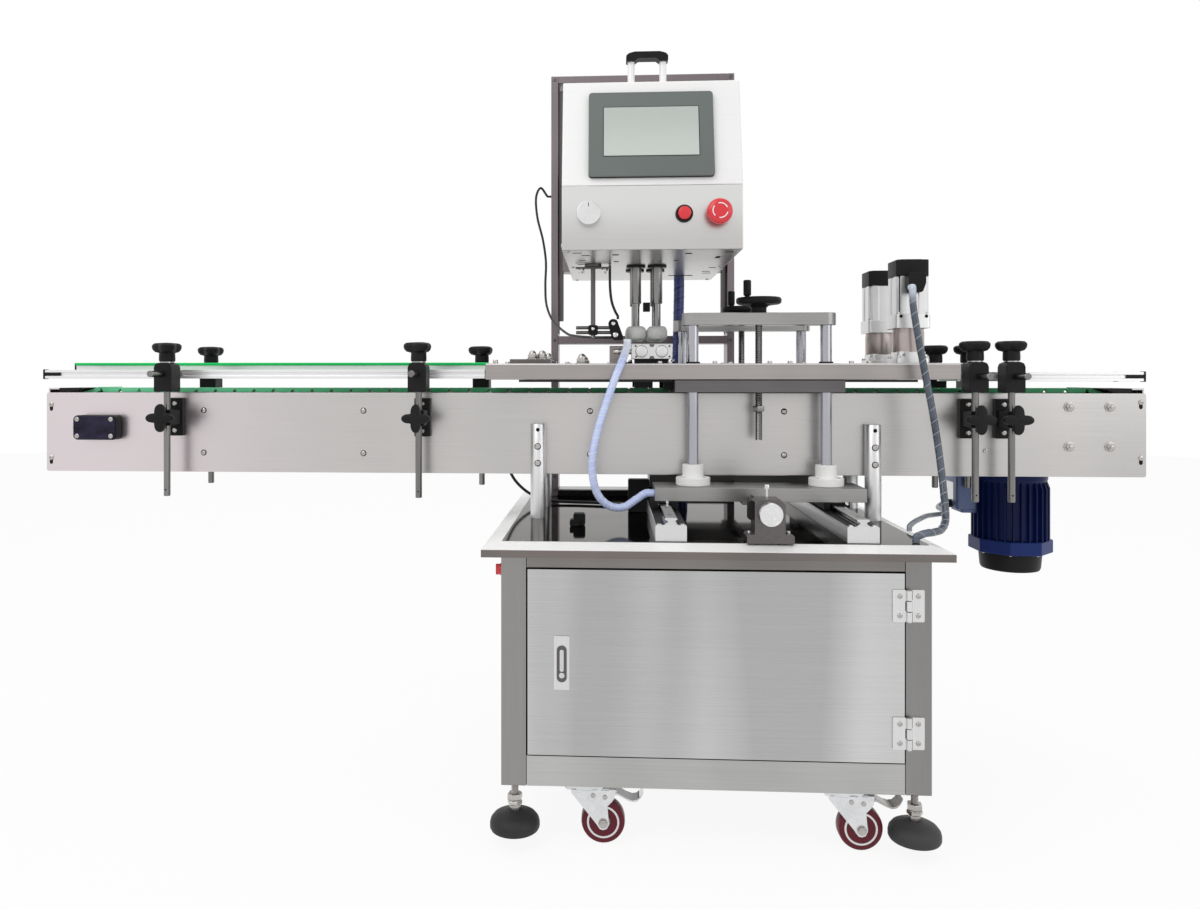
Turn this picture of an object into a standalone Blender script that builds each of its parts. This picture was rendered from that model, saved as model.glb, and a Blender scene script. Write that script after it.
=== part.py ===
"""A capping machine on a wheeled cabinet, with a flat-top chain conveyor through it.

Metres, +Z up. +X runs along the conveyor to its drive end, +Y away from the operator.
X = 0 is the middle of the conveyor's length, Y = 0 its centreline and Z = 0 the floor.
"""

import math

import bmesh
import bpy
from mathutils import Matrix, Vector

# Fits
GAP = 0.0003
RUNNING = 0.0004
BITE = 0.001

# Cabinet and table
CABINET_X = 0.2222
CABINET_FLOOR = 0.100
LEG = 0.040
SKIN = 0.002
RAIL_HEIGHT_LOW = 0.048
RAIL_HEIGHT_TOP = 0.020
TABLE_WIDTH = 0.728
TABLE_DEPTH = 0.700
SIDE_OVERHANG = 0.0295
FRONT_OVERHANG = 0.020
CABINET_WIDTH = TABLE_WIDTH - 2 * SIDE_OVERHANG
CABINET_DEPTH = TABLE_DEPTH - 2 * FRONT_OVERHANG
TABLE_TOP = 0.486
TABLE_SHEET = 0.003
TABLE_BEVEL = 0.030
TABLE_DROP = 0.009
TABLE_LIP = 0.012

# Door
DOOR_WIDTH = 0.590
DOOR_HEIGHT = 0.294
DOOR_SHEET = 0.004
DOOR_GAP = 0.0015
HINGE_HEIGHT = 0.050
HINGE_LEAF = 0.020
HINGE_SHEET = 0.003
HINGE_PIN = 0.0045
HINGE_RISE = (0.042, 0.240)
LATCH_WIDTH = 0.024
LATCH_HEIGHT = 0.085
LATCH_INSET = 0.056
LEVER_WIDTH = 0.014
LEVER_HEIGHT = 0.052
LEVER_THICK = 0.004
SWITCH_RADIUS = 0.010
SWITCH_RISE = 0.330

# Feet
FOOT_LIFT = 0.015
PAD_RADIUS = 0.040
PAD_HEIGHT = 0.026
STEM_RADIUS = 0.006
NUT_RADIUS = 0.0125
NUT_HEIGHT = 0.009

# Casters
WHEEL_RADIUS = 0.035
WHEEL_WIDTH = 0.024
WHEEL_TRAIL = 0.030
SWIVEL_DX = 0.203
SWIVEL_DY = 0.295
CASTER_PLATE = 0.004
CASTER_RACE = 0.006
FORK_SHEET = 0.0025
AXLE_RADIUS = 0.004

# Conveyor
CONVEYOR_LENGTH = 2.060
CONVEYOR_WIDTH = 0.126
PANEL_BOTTOM = 0.566
PANEL_HEIGHT = 0.152
PANEL_SHEET = 0.0025
PANEL_FLANGE = 0.018
PANEL_NOTCH = 0.110
CHAIN_TOP = 0.727
CHAIN_WIDTH = 0.0826
CHAIN_PLATE = 0.0048
CHAIN_PITCH = 0.0381
CHAIN_SLOT = 0.0022
SPROCKET_X = 0.9333
SPROCKET_RADIUS = 0.058
SHAFT_RADIUS = 0.010
BED_WIDTH = 0.060
BED_HEIGHT = 0.012
SUPPORT_RADIUS = 0.0135
SUPPORT_X = (-0.0726, 0.540)
SUPPORT_TOP = 0.661

# Guide rails, one pair to each side of the capping station
RAIL_Y = 0.052
RAIL_DEPTH = 0.012
RAIL_HEIGHT = 0.017
RAIL_STRIP = 0.005
POST_Y = 0.105
POST_RADIUS = 0.006
POST_BOTTOM = 0.525
HEAD_SIZE = (0.034, 0.036, 0.054)
HEAD_BOTTOM = 0.7205
KNOB_STEM = 0.0145
KNOB_RADIUS = 0.0285
KNOB_HEIGHT = 0.018
KNOB_NECK = 0.020
BRACKET_WIDTH = 0.030
BRACKET_LOW = 0.636
BRACKET_HIGH = 0.708
STAR_RADIUS = 0.026
# Name, side of the line, start and end along X, top of the rail, the two posts
GUIDES = (
    ("guide_rail_front_left", -1, -1.040, -0.176, 0.7620, (-0.769, -0.292)),
    ("guide_rail_rear_left", 1, -1.040, -0.176, 0.7760, (-0.779, -0.204)),
    ("guide_rail_front_right", -1, 0.700, 1.032, 0.7570, (0.711, 0.774)),
    ("guide_rail_rear_right", 1, 0.700, 1.040, 0.7570, (0.715, 0.780)),
)


# Chain drive
MOTOR_X = 0.870
MOTOR_Y = 0.132
MOTOR_RADIUS = 0.072
MOTOR_FINS = 18
MOTOR_TOP = 0.560
MOTOR_BAND = 0.414
MOTOR_CAP = 0.384
MOTOR_END = 0.346

# Capping station: two beds that straddle the line on columns
BED_START = -0.165
BED_END = 0.678
BED_TOP = 0.7720
BED_THICK = 0.0290
BED_NEAR = 0.046
BED_FAR = 0.128
CARRIER_X = (0.177, 0.478)
CARRIER_THICK = 0.0230
COLUMN_X = (0.211, 0.449)
COLUMN_Y = 0.105
COLUMN_RADIUS = 0.010
SCREW_X = 0.329
SCREW_RADIUS = 0.0065
SCREW_BOTTOM = 0.634
YOKE_X = (0.191, 0.466)
YOKE_DEPTH = 0.040
YOKE_BOTTOM = 0.841
YOKE_THICK = 0.022
HANDWHEEL_RADIUS = 0.0405
HANDWHEEL_HUB = 0.014
CRANK_RADIUS = 0.0055
SLIDE_X = (0.140, 0.509)
SLIDE_TOP = 0.5520
SLIDE_THICK = 0.0240
SLIDE_NEAR = 0.062
SLIDE_FAR = 0.150
BUSH_RADIUS = 0.019
BUSH_FLANGE = 0.031
BUSH_TOP = 0.590
BUSH_BASE = 0.015
TRACK_X = (0.157, 0.457)
TRACK_WIDTH = 0.050
TRACK_BASE_TOP = 0.5125
TRACK_HALF_LENGTH = 0.315
TRACK_RAIL = 0.020
TRACK_RAIL_TOP = 0.5240
KNOB_X = 0.3085
WIDTH_SCREW_Z = 0.5345
WIDTH_SCREW_RADIUS = 0.006
WIDTH_KNOB_RADIUS = 0.0185
WIDTH_FACE = -0.329
BLOCK_X = (0.274, 0.348)
BLOCK_TOP = 0.556

# Gripping belts under the beds
GRIP_PULLEY_X = (-0.090, 0.603)
GRIP_PULLEY_RADIUS = 0.016
GRIP_BELT_THICK = 0.004
GRIP_BELT_HEIGHT = 0.012
GRIP_SHAFT_RADIUS = 0.005
SIDE_MOTOR_X = 0.603
SIDE_MOTOR_Y = 0.085
SIDE_MOTOR_FLANGE = 0.066
SIDE_MOTOR_SIZE = 0.060
SIDE_MOTOR_TOP = 0.959

# Head
GANTRY_X = (-0.068, 0.332)
GANTRY_Y = (0.230, 0.290)
GANTRY_POST = 0.0155
GANTRY_TOP = 1.4110
GANTRY_TIE = (0.8215, 0.8385)
HOUSING_X = (-0.020, 0.280)
HOUSING_FRONT = -0.250
HOUSING_BACK = 0.220
HOUSING_FOLD = 1.066
HOUSING_BOTTOM = HOUSING_FOLD - 0.107
HOUSING_TOP = HOUSING_FOLD + 0.187
HOUSING_LEAN = 0.045
RUNNER_RAIL = 0.010
HANDLE_Y = 0.050
PANEL_X = (0.0245, 0.2335)
PANEL_RISE = (0.013, 0.168)
PANEL_THICK = 0.008
CONTROLS_Z = HOUSING_FOLD - 0.048
ESTOP_X = 0.2390
BUTTON_X = 0.1830
DIAL_X = 0.0250
ESTOP_RADIUS = 0.0210
BUTTON_RADIUS = 0.0145
DIAL_RADIUS = 0.0200
SPINDLE_X = (0.1100, 0.1500)
SPINDLE_Y = 0.033
SPINDLE_RADIUS = 0.0068
SLEEVE_RADIUS = 0.0100
SLEEVE_BOTTOM = 0.8870
CAP_WHEEL_RADIUS = 0.0195
CAP_WHEEL_BOTTOM = 0.8180
CAP_WHEEL_HEIGHT = 0.0260
CLAMP_X = (0.100, 0.166)
CLAMP_Y = (-0.100, -0.056)
CLAMP_Z = (0.781, 0.808)
SENSOR_X = 0.0290
SENSOR_Y = -0.056
SENSOR_BOTTOM = 0.825
SENSOR_ARM_Z = 0.836
SENSOR_BODY_X = 0.0755

# Joints' clearances worked out from the same values
HALF_WIDTH = CONVEYOR_WIDTH / 2
PANEL_TOP = PANEL_BOTTOM + PANEL_HEIGHT
TABLE_UNDER = TABLE_TOP - TABLE_DROP - TABLE_LIP

COLOURS = {
    "stainless": ((0.55, 0.54, 0.53), 0.32, 1.0),
    "aluminium": ((0.72, 0.72, 0.72), 0.42, 1.0),
    "chrome": ((0.75, 0.75, 0.76), 0.12, 1.0),
    "black_plastic": ((0.02, 0.02, 0.022), 0.45, 0.0),
    "black_rubber": ((0.025, 0.025, 0.027), 0.7, 0.0),
    "white_nylon": ((0.85, 0.85, 0.83), 0.45, 0.0),
    "green_plastic": ((0.02, 0.45, 0.16), 0.4, 0.0),
    "red_plastic": ((0.75, 0.03, 0.04), 0.35, 0.0),
    "maroon_tyre": ((0.22, 0.015, 0.03), 0.45, 0.0),
    "blue_paint": ((0.01, 0.03, 0.17), 0.35, 0.0),
    "grey_plastic": ((0.12, 0.14, 0.14), 0.4, 0.0),
    "clear_blue_hose": ((0.45, 0.55, 0.85), 0.3, 0.0),
    "grey_sleeve": ((0.25, 0.29, 0.35), 0.4, 0.0),
    "zinc": ((0.6, 0.62, 0.64), 0.35, 1.0),
}


def clear_scene():
    for obj in list(bpy.data.objects):
        bpy.data.objects.remove(obj, do_unlink=True)


def material(name):
    found = bpy.data.materials.get(name)
    if found:
        return found
    colour, roughness, metallic = COLOURS[name]
    made = bpy.data.materials.new(name)
    made.use_nodes = True
    shader = made.node_tree.nodes["Principled BSDF"]
    shader.inputs["Base Color"].default_value = (*colour, 1.0)
    shader.inputs["Roughness"].default_value = roughness
    shader.inputs["Metallic"].default_value = metallic
    return made


def raw(bm):
    """A loose object from a bmesh, with its faces pointing out."""
    bmesh.ops.recalc_face_normals(bm, faces=bm.faces)
    mesh = bpy.data.meshes.new("shape")
    bm.to_mesh(mesh)
    bm.free()
    return bpy.data.objects.new("shape", mesh)


def block(x, y, z):
    """A box between the given lowest and highest values."""
    bm = bmesh.new()
    bmesh.ops.create_cube(bm, size=1.0)
    size = Vector((x[1] - x[0], y[1] - y[0], z[1] - z[0]))
    middle = Vector((x[0] + x[1], y[0] + y[1], z[0] + z[1])) / 2
    bmesh.ops.scale(bm, vec=size, verts=bm.verts)
    bmesh.ops.translate(bm, vec=middle, verts=bm.verts)
    return raw(bm)


def axis_matrix(axis):
    """Turns +Z onto the axis, keeping the outline's first direction along X where it can."""
    turns = {
        "Z": Matrix.Identity(4),
        "Y": Matrix(((1, 0, 0, 0), (0, 0, 1, 0), (0, -1, 0, 0), (0, 0, 0, 1))),
        "X": Matrix(((0, 0, 1, 0), (1, 0, 0, 0), (0, 1, 0, 0), (0, 0, 0, 1))),
    }
    return turns[axis]


def prism(outline, axis, low, high):
    """An outline pushed along an axis: (x, y) for Z, (x, z) for Y and (y, z) for X."""
    bm = bmesh.new()
    order = {"Z": lambda a, b, t: (a, b, t), "Y": lambda a, b, t: (a, t, b), "X": lambda a, b, t: (t, a, b)}
    ends = [[bm.verts.new(order[axis](a, b, t)) for a, b in outline] for t in (low, high)]
    bm.faces.new(ends[0])
    bm.faces.new(list(reversed(ends[1])))
    for i in range(len(outline)):
        j = (i + 1) % len(outline)
        bm.faces.new((ends[0][i], ends[0][j], ends[1][j], ends[1][i]))
    return raw(bm)


def turned(profile, centre, axis="Z", sides=16):
    """A solid of revolution. The profile is (radius, height) from one end of the axis to the other."""
    bm = bmesh.new()
    turn = Matrix.Translation(centre) @ axis_matrix(axis)
    rings = []
    for radius, height in profile:
        count = sides if radius > 0 else 1
        angles = [2 * math.pi * (i + 0.5) / sides for i in range(count)]
        ring = [Vector((radius * math.cos(a), radius * math.sin(a), height)) for a in angles]
        rings.append([bm.verts.new(turn @ point) for point in ring])
    for lower, upper in zip(rings, rings[1:]):
        for i in range(sides):
            j = (i + 1) % sides
            if len(lower) == 1:
                bm.faces.new((lower[0], upper[i], upper[j]))
            elif len(upper) == 1:
                bm.faces.new((lower[i], lower[j], upper[0]))
            else:
                bm.faces.new((lower[i], lower[j], upper[j], upper[i]))
    for end in (rings[0], rings[-1]):
        if len(end) > 1:
            bm.faces.new(end)
    return raw(bm)


def rod(centre, radius, low, high, axis="Z", sides=12):
    return turned([(radius, low), (radius, high)], centre, axis, sides)


def rounded(x, y, radius, steps=3):
    """The outline of a rectangle with round corners."""
    points = []
    corners = ((x[1], y[1], 0), (x[0], y[1], 1), (x[0], y[0], 2), (x[1], y[0], 3))
    for cx, cy, quarter in corners:
        sx = cx - radius if cx == x[1] else cx + radius
        sy = cy - radius if cy == y[1] else cy + radius
        for k in range(steps + 1):
            angle = math.pi / 2 * (quarter + k / steps)
            points.append((sx + radius * math.cos(angle), sy + radius * math.sin(angle)))
    return points


def hexagon(x, y, radius):
    return [(x + radius * math.cos(math.pi / 3 * i), y + radius * math.sin(math.pi / 3 * i)) for i in range(6)]


def star(centre, radius, points=4, waist=0.48, steps=16):
    """A rounded star grip's outline."""
    outline = []
    for i in range(steps):
        angle = 2 * math.pi * i / steps
        reach = radius * (waist + (1 - waist) * (0.5 + 0.5 * math.cos(points * angle)) ** 1.3)
        outline.append((centre[0] + reach * math.cos(angle), centre[1] + reach * math.sin(angle)))
    return outline


def helper(obj, collection):
    obj.hide_render = True
    obj.display_type = "WIRE"
    collection.objects.link(obj)


def piece(name, colour, adds, cuts=(), origin=(0, 0, 0)):
    """One named solid: the added shapes united, then the cut shapes taken away."""
    body, *others = adds
    body.name = name
    body.data.name = name
    body.data.materials.append(material(colour))
    origin = Vector(origin)
    body.data.transform(Matrix.Translation(-origin))
    body.location = origin
    bpy.context.scene.collection.objects.link(body)
    for kind, shapes in (("UNION", others), ("DIFFERENCE", cuts)):
        if not shapes:
            continue
        tools = bpy.data.collections.new(f"{name}_{kind.lower()}")
        bpy.context.scene.collection.children.link(tools)
        for shape in shapes:
            helper(shape, tools)
        change = body.modifiers.new(kind.title(), "BOOLEAN")
        change.operation = kind
        change.operand_type = "COLLECTION"
        change.collection = tools
    body.data.shade_smooth()
    body.data.set_sharp_from_angle(angle=math.radians(35))
    return body


def span(middle, size):
    return (middle - size / 2, middle + size / 2)


# Cabinet

CABINET_SIDES = span(CABINET_X, CABINET_WIDTH)
CABINET_FACES = span(0, CABINET_DEPTH)
BEVEL_RISE = TABLE_DROP * (FRONT_OVERHANG - TABLE_SHEET) / (TABLE_BEVEL - TABLE_SHEET)
CABINET_CEILING = TABLE_TOP - TABLE_DROP - TABLE_SHEET + BEVEL_RISE - GAP
LEG_CENTRES = [(x, y) for x in span(CABINET_X, CABINET_WIDTH - LEG) for y in span(0, CABINET_DEPTH - LEG)]
SWIVELS = [(CABINET_X + i * SWIVEL_DX, j * SWIVEL_DY) for i in (-1, 1) for j in (-1, 1)]
SIDE_NAMES = ("left_front", "left_rear", "right_front", "right_rear")
DOOR_RIGHT = CABINET_SIDES[1] - LEG + DOOR_GAP
DOOR_LEFT = DOOR_RIGHT - DOOR_WIDTH
DOOR_BOTTOM = CABINET_FLOOR + RAIL_HEIGHT_LOW + DOOR_GAP
DOOR_FACE = CABINET_FACES[0] - 0.001
HINGE_AXIS = (DOOR_RIGHT + HINGE_PIN / 2, DOOR_FACE - HINGE_SHEET - 0.001)


def cabinet_body():
    x0, x1 = CABINET_SIDES
    y0, y1 = CABINET_FACES
    floor, ceiling = CABINET_FLOOR, CABINET_CEILING
    adds = [block((x0, x1), (y0, y1), (floor, ceiling))]
    inner_y = (y0 + LEG, y1 - SKIN)
    chamber = block((x0 + SKIN, x1 - SKIN), inner_y, (floor + RAIL_HEIGHT_LOW, ceiling - RAIL_HEIGHT_TOP))
    inner_x = (x0 + LEG, x1 - LEG)
    doorway = block(inner_x, (y0 - BITE, y0 + LEG + BITE), (floor + RAIL_HEIGHT_LOW, ceiling - RAIL_HEIGHT_TOP))
    hollow = block((x0 + LEG, x1 - LEG), (y0 + LEG, y1 - LEG), (floor - BITE, floor + RAIL_HEIGHT_LOW - SKIN))
    cuts = [chamber, doorway, hollow]
    for x, y in SWIVELS:
        plate = block(span(x, 0.062), span(y, 0.062), (floor - CASTER_PLATE, floor + BITE))
        adds.append(plate)
    for x, y in LEG_CENTRES:
        cuts.append(rod((x, y, 0), STEM_RADIUS + RUNNING, floor - 0.01, floor + 0.035, sides=8))
    adds += frame_leaves()
    centre = switch_centre()
    cuts.append(rod(centre, 0.006 + RUNNING, -BITE, 0.030, "X", 14))
    piece("cabinet_body", "stainless", adds, cuts)


def table_top():
    """A sheet with a shallow bevel and a turned-down lip on all four sides."""
    x0, x1 = span(CABINET_X, TABLE_WIDTH)
    y0, y1 = span(0, TABLE_DEPTH)
    shoulder = TABLE_TOP - TABLE_DROP

    def dished(inset, drop, low):
        bm = bmesh.new()
        loops = []
        for grow, z in ((inset, low), (inset, shoulder - drop), (TABLE_BEVEL, TABLE_TOP - drop)):
            corners = ((x0 + grow, y0 + grow), (x1 - grow, y0 + grow), (x1 - grow, y1 - grow), (x0 + grow, y1 - grow))
            loops.append([bm.verts.new((x, y, z)) for x, y in corners])
        for lower, upper in zip(loops, loops[1:]):
            for i in range(4):
                j = (i + 1) % 4
                bm.faces.new((lower[i], lower[j], upper[j], upper[i]))
        bm.faces.new(loops[0])
        bm.faces.new(loops[-1])
        return raw(bm)

    adds = [dished(0.0, 0.0, TABLE_UNDER)]
    cuts = [dished(TABLE_SHEET, TABLE_SHEET, TABLE_UNDER - BITE)]
    seat = TABLE_TOP - BITE
    for x in TRACK_X:
        adds.append(block(span(x, TRACK_WIDTH), span(0, 2 * TRACK_HALF_LENGTH), (seat, TRACK_BASE_TOP)))
        rail = [(x - TRACK_RAIL / 2, TRACK_BASE_TOP - BITE), (x - TRACK_RAIL / 3, TRACK_RAIL_TOP - 0.007),
                (x - TRACK_RAIL / 2, TRACK_RAIL_TOP), (x + TRACK_RAIL / 2, TRACK_RAIL_TOP),
                (x + TRACK_RAIL / 3, TRACK_RAIL_TOP - 0.007), (x + TRACK_RAIL / 2, TRACK_BASE_TOP - BITE)]
        adds.append(prism(rail, "Y", -TRACK_HALF_LENGTH, TRACK_HALF_LENGTH))
    adds += width_block()
    cuts.append(rod((KNOB_X, 0, WIDTH_SCREW_Z), WIDTH_SCREW_RADIUS + RUNNING, WIDTH_FACE - BITE, WIDTH_FACE + 0.041, "Y", 14))
    piece("table_top", "stainless", adds, cuts)


def width_block():
    """The upright that carries the width screw, with its foot and clamp screw."""
    y = (WIDTH_FACE, WIDTH_FACE + 0.040)
    middle = WIDTH_FACE + 0.020
    foot = TABLE_TOP - BITE
    outline = [(BLOCK_X[0], foot), (BLOCK_X[1], foot), (BLOCK_X[1], TABLE_TOP + 0.015),
               (BLOCK_X[1] - 0.014, TABLE_TOP + 0.015), (BLOCK_X[1] - 0.014, BLOCK_TOP - 0.006),
               (BLOCK_X[1] - 0.020, BLOCK_TOP), (BLOCK_X[0] + 0.016, BLOCK_TOP), (BLOCK_X[0] + 0.012, BLOCK_TOP - 0.004),
               (BLOCK_X[0] + 0.012, TABLE_TOP + 0.015), (BLOCK_X[0], TABLE_TOP + 0.015)]
    screw = rod((BLOCK_X[0] + 0.034, middle, 0), 0.002, BLOCK_TOP - BITE, BLOCK_TOP + 0.014, sides=8)
    head = rod((BLOCK_X[0] + 0.034, middle, 0), 0.0038, BLOCK_TOP + 0.013, BLOCK_TOP + 0.019, sides=10)
    return [prism(outline, "Y", *y), screw, head]


def cabinet_door():
    y1 = DOOR_FACE
    door = block((DOOR_LEFT + DOOR_GAP, DOOR_RIGHT - 2 * DOOR_GAP), (y1, y1 + DOOR_SHEET),
                 (DOOR_BOTTOM, DOOR_BOTTOM + DOOR_HEIGHT))
    adds = [door]
    cuts = []
    x, y = HINGE_AXIS
    for rise in HINGE_RISE:
        low = DOOR_BOTTOM + rise
        leaf = block((x - HINGE_LEAF - HINGE_PIN, x - HINGE_PIN / 2), (y1 - HINGE_SHEET, y1 + BITE / 2),
                     (low, low + HINGE_HEIGHT))
        adds.append(leaf)
        third = HINGE_HEIGHT / 3
        adds.append(rod((x, y, 0), HINGE_PIN, low + third + GAP, low + 2 * third - GAP))
        adds.append(block((x - HINGE_PIN - BITE, x), (y1 - HINGE_SHEET, y1 - 0.0005),
                          (low + third + GAP, low + 2 * third - GAP)))
        for end in (0, 2):
            cuts.append(block((x - HINGE_PIN - GAP, x + HINGE_PIN), (y - HINGE_PIN - BITE, y1 + HINGE_SHEET),
                              (low + end * third - GAP, low + (end + 1) * third + GAP)))
    latch_x = DOOR_LEFT + LATCH_INSET - LATCH_WIDTH / 2
    middle = DOOR_BOTTOM + DOOR_HEIGHT / 2
    adds.append(block((latch_x, latch_x + LATCH_WIDTH), (y1 - 0.002, y1 + BITE), span(middle, LATCH_HEIGHT)))
    cuts.append(block(span(latch_x + LATCH_WIDTH / 2, LEVER_WIDTH + 2 * GAP), (y1 - 0.01, y1 + 0.0015),
                      (middle - LEVER_HEIGHT / 2 - GAP, middle + LEVER_HEIGHT / 2 + LEVER_THICK)))
    piece("cabinet_door", "stainless", adds, cuts, origin=(x, y, DOOR_BOTTOM))


def latch_lever():
    x = DOOR_LEFT + LATCH_INSET
    middle = DOOR_BOTTOM + DOOR_HEIGHT / 2
    top = middle + LEVER_HEIGHT / 2
    outline = rounded(span(x, LEVER_WIDTH), span(middle, LEVER_HEIGHT), LEVER_WIDTH / 2 - BITE, 5)
    lever = prism(outline, "Y", DOOR_FACE + 0.0015 - GAP - LEVER_THICK, DOOR_FACE + 0.0015 - GAP)
    piece("latch_lever", "chrome", [lever], origin=(x, DOOR_FACE + 0.0015 - GAP, top))


def frame_leaves():
    """The hinge halves that stay on the cabinet: a leaf and the two outer knuckles each."""
    x, y = HINGE_AXIS
    face = CABINET_FACES[0]
    third = HINGE_HEIGHT / 3
    shapes = []
    for rise in HINGE_RISE:
        low = DOOR_BOTTOM + rise
        shapes.append(block((x + HINGE_PIN + GAP, x + HINGE_LEAF), (face - HINGE_SHEET, face + BITE), (low, low + HINGE_HEIGHT)))
        for end in (0, 2):
            z = (low + end * third, low + (end + 1) * third)
            shapes.append(rod((x, y, 0), HINGE_PIN, *z))
            shapes.append(block((x, x + HINGE_PIN + 2 * BITE), (face - HINGE_SHEET + 0.0002, face - 0.0005), (z[0] + 0.0002, z[1] - 0.0002)))
    return shapes


def switch_centre():
    return (CABINET_SIDES[0], CABINET_FACES[0] + 0.060, CABINET_FLOOR + SWITCH_RISE)


def main_switch():
    centre = switch_centre()
    x = centre[0]
    dial = turned([(SWITCH_RADIUS, -0.010), (SWITCH_RADIUS, -GAP), (0.006, -GAP), (0.006, 0.020)], centre, "X")
    grip = block((x - 0.016, x - 0.009), span(centre[1], 0.006), span(centre[2], 1.8 * SWITCH_RADIUS))
    piece("main_switch", "red_plastic", [dial, grip], origin=centre)


def levelling_feet():
    for name, (x, y) in zip(SIDE_NAMES, LEG_CENTRES):
        low = FOOT_LIFT
        top = low + PAD_HEIGHT
        pad = turned([(PAD_RADIUS - 0.003, low), (PAD_RADIUS, low + 0.004), (PAD_RADIUS, low + 0.008),
                      (PAD_RADIUS * 0.55, low + 0.021), (PAD_RADIUS * 0.30, top)], (x, y, 0), sides=14)
        stem = rod((x, y, 0), STEM_RADIUS, top - 0.004, CABINET_FLOOR + 0.030, sides=8)
        adds = [pad, stem, prism(hexagon(x, y, NUT_RADIUS), "Z", top - BITE, top + NUT_HEIGHT),
                prism(hexagon(x, y, NUT_RADIUS), "Z", top + 0.013, top + 0.013 + NUT_HEIGHT)]
        piece(f"levelling_foot_{name}", "black_rubber", adds, origin=(x, y, CABINET_FLOOR))


def caster_forks():
    """Pressed forks: two cheeks that lean back to the axle under a round swivel race."""
    ceiling = CABINET_FLOOR - CASTER_PLATE - GAP
    cheek = WHEEL_WIDTH / 2 + 0.002
    for name, (x, y) in zip(SIDE_NAMES, SWIVELS):
        axle_x = x + WHEEL_TRAIL
        crown = ceiling - CASTER_RACE
        adds = [rod((x, y, 0), 0.024, crown - 0.002, ceiling, sides=16)]
        adds.append(block((x - 0.020, x + 0.040), span(y, 2 * (cheek + FORK_SHEET)), (crown - FORK_SHEET, crown)))
        outline = [(x - 0.020, crown - BITE), (axle_x - 0.010, WHEEL_RADIUS - 0.003), (axle_x, WHEEL_RADIUS - 0.011),
                   (axle_x + 0.010, WHEEL_RADIUS - 0.002), (axle_x + 0.008, WHEEL_RADIUS + 0.030),
                   (x + 0.052, crown - 0.020), (x + 0.050, crown - BITE)]
        for side in (-1, 1):
            inner = y + side * cheek
            outer = y + side * (cheek + FORK_SHEET)
            adds.append(prism(outline, "Y", min(inner, outer), max(inner, outer)))
        adds.append(rod((axle_x, y, WHEEL_RADIUS), AXLE_RADIUS, -cheek - 0.006, cheek + 0.006, "Y", 8))
        if y < 0:
            pedal = [(x + 0.030, crown - 0.001), (x + 0.052, crown + 0.001), (x + 0.075, crown - 0.011),
                     (x + 0.088, crown - 0.008), (x + 0.096, crown + 0.004), (x + 0.098, crown + 0.002),
                     (x + 0.090, crown - 0.012), (x + 0.075, crown - 0.015), (x + 0.050, crown - 0.004),
                     (x + 0.030, crown - 0.004)]
            adds.append(prism(pedal, "Y", y - cheek, y + cheek))
        piece(f"caster_fork_{name}", "zinc", adds, origin=(x, y, ceiling))


def caster_wheels():
    bore = AXLE_RADIUS + GAP
    half = WHEEL_WIDTH / 2
    for name, (x, y) in zip(SIDE_NAMES, SWIVELS):
        centre = (x + WHEEL_TRAIL, y, WHEEL_RADIUS)
        tyre = turned([(0.020, -half), (0.022, -half + 0.003), (0.030, -half), (WHEEL_RADIUS, -half + 0.006),
                       (WHEEL_RADIUS, half - 0.006), (0.030, half), (0.022, half - 0.003), (0.020, half)], centre, "Y", 18)
        piece(f"caster_wheel_{name}", "maroon_tyre", [tyre], [rod(centre, bore, -half - BITE, half + BITE, "Y", 8)],
              origin=centre)


# Conveyor

def chain_path(radius):
    """Points along the chain's loop, a pitch apart, with the outward direction at each."""
    straight = 2 * SPROCKET_X
    arc = math.pi * radius
    total = 2 * (straight + arc)
    count = round(total / CHAIN_PITCH)
    return total, count, straight, arc


def on_loop(distance, radius, straight, arc):
    """A place on the loop and its outward normal, both in X and Z from the loop's middle."""
    if distance < straight:
        return (-straight / 2 + distance, radius), (0.0, 1.0)
    distance -= straight
    if distance < arc:
        angle = math.pi / 2 - distance / radius
        normal = (math.cos(angle), math.sin(angle))
        return (straight / 2 + radius * normal[0], radius * normal[1]), normal
    distance -= arc
    if distance < straight:
        return (straight / 2 - distance, -radius), (0.0, -1.0)
    distance -= straight
    angle = -math.pi / 2 - distance / radius
    normal = (math.cos(angle), math.sin(angle))
    return (-straight / 2 + radius * normal[0], radius * normal[1]), normal


LOOP_RADIUS = SPROCKET_RADIUS + 0.004
LOOP_Z = CHAIN_TOP - CHAIN_PLATE - LOOP_RADIUS


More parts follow.
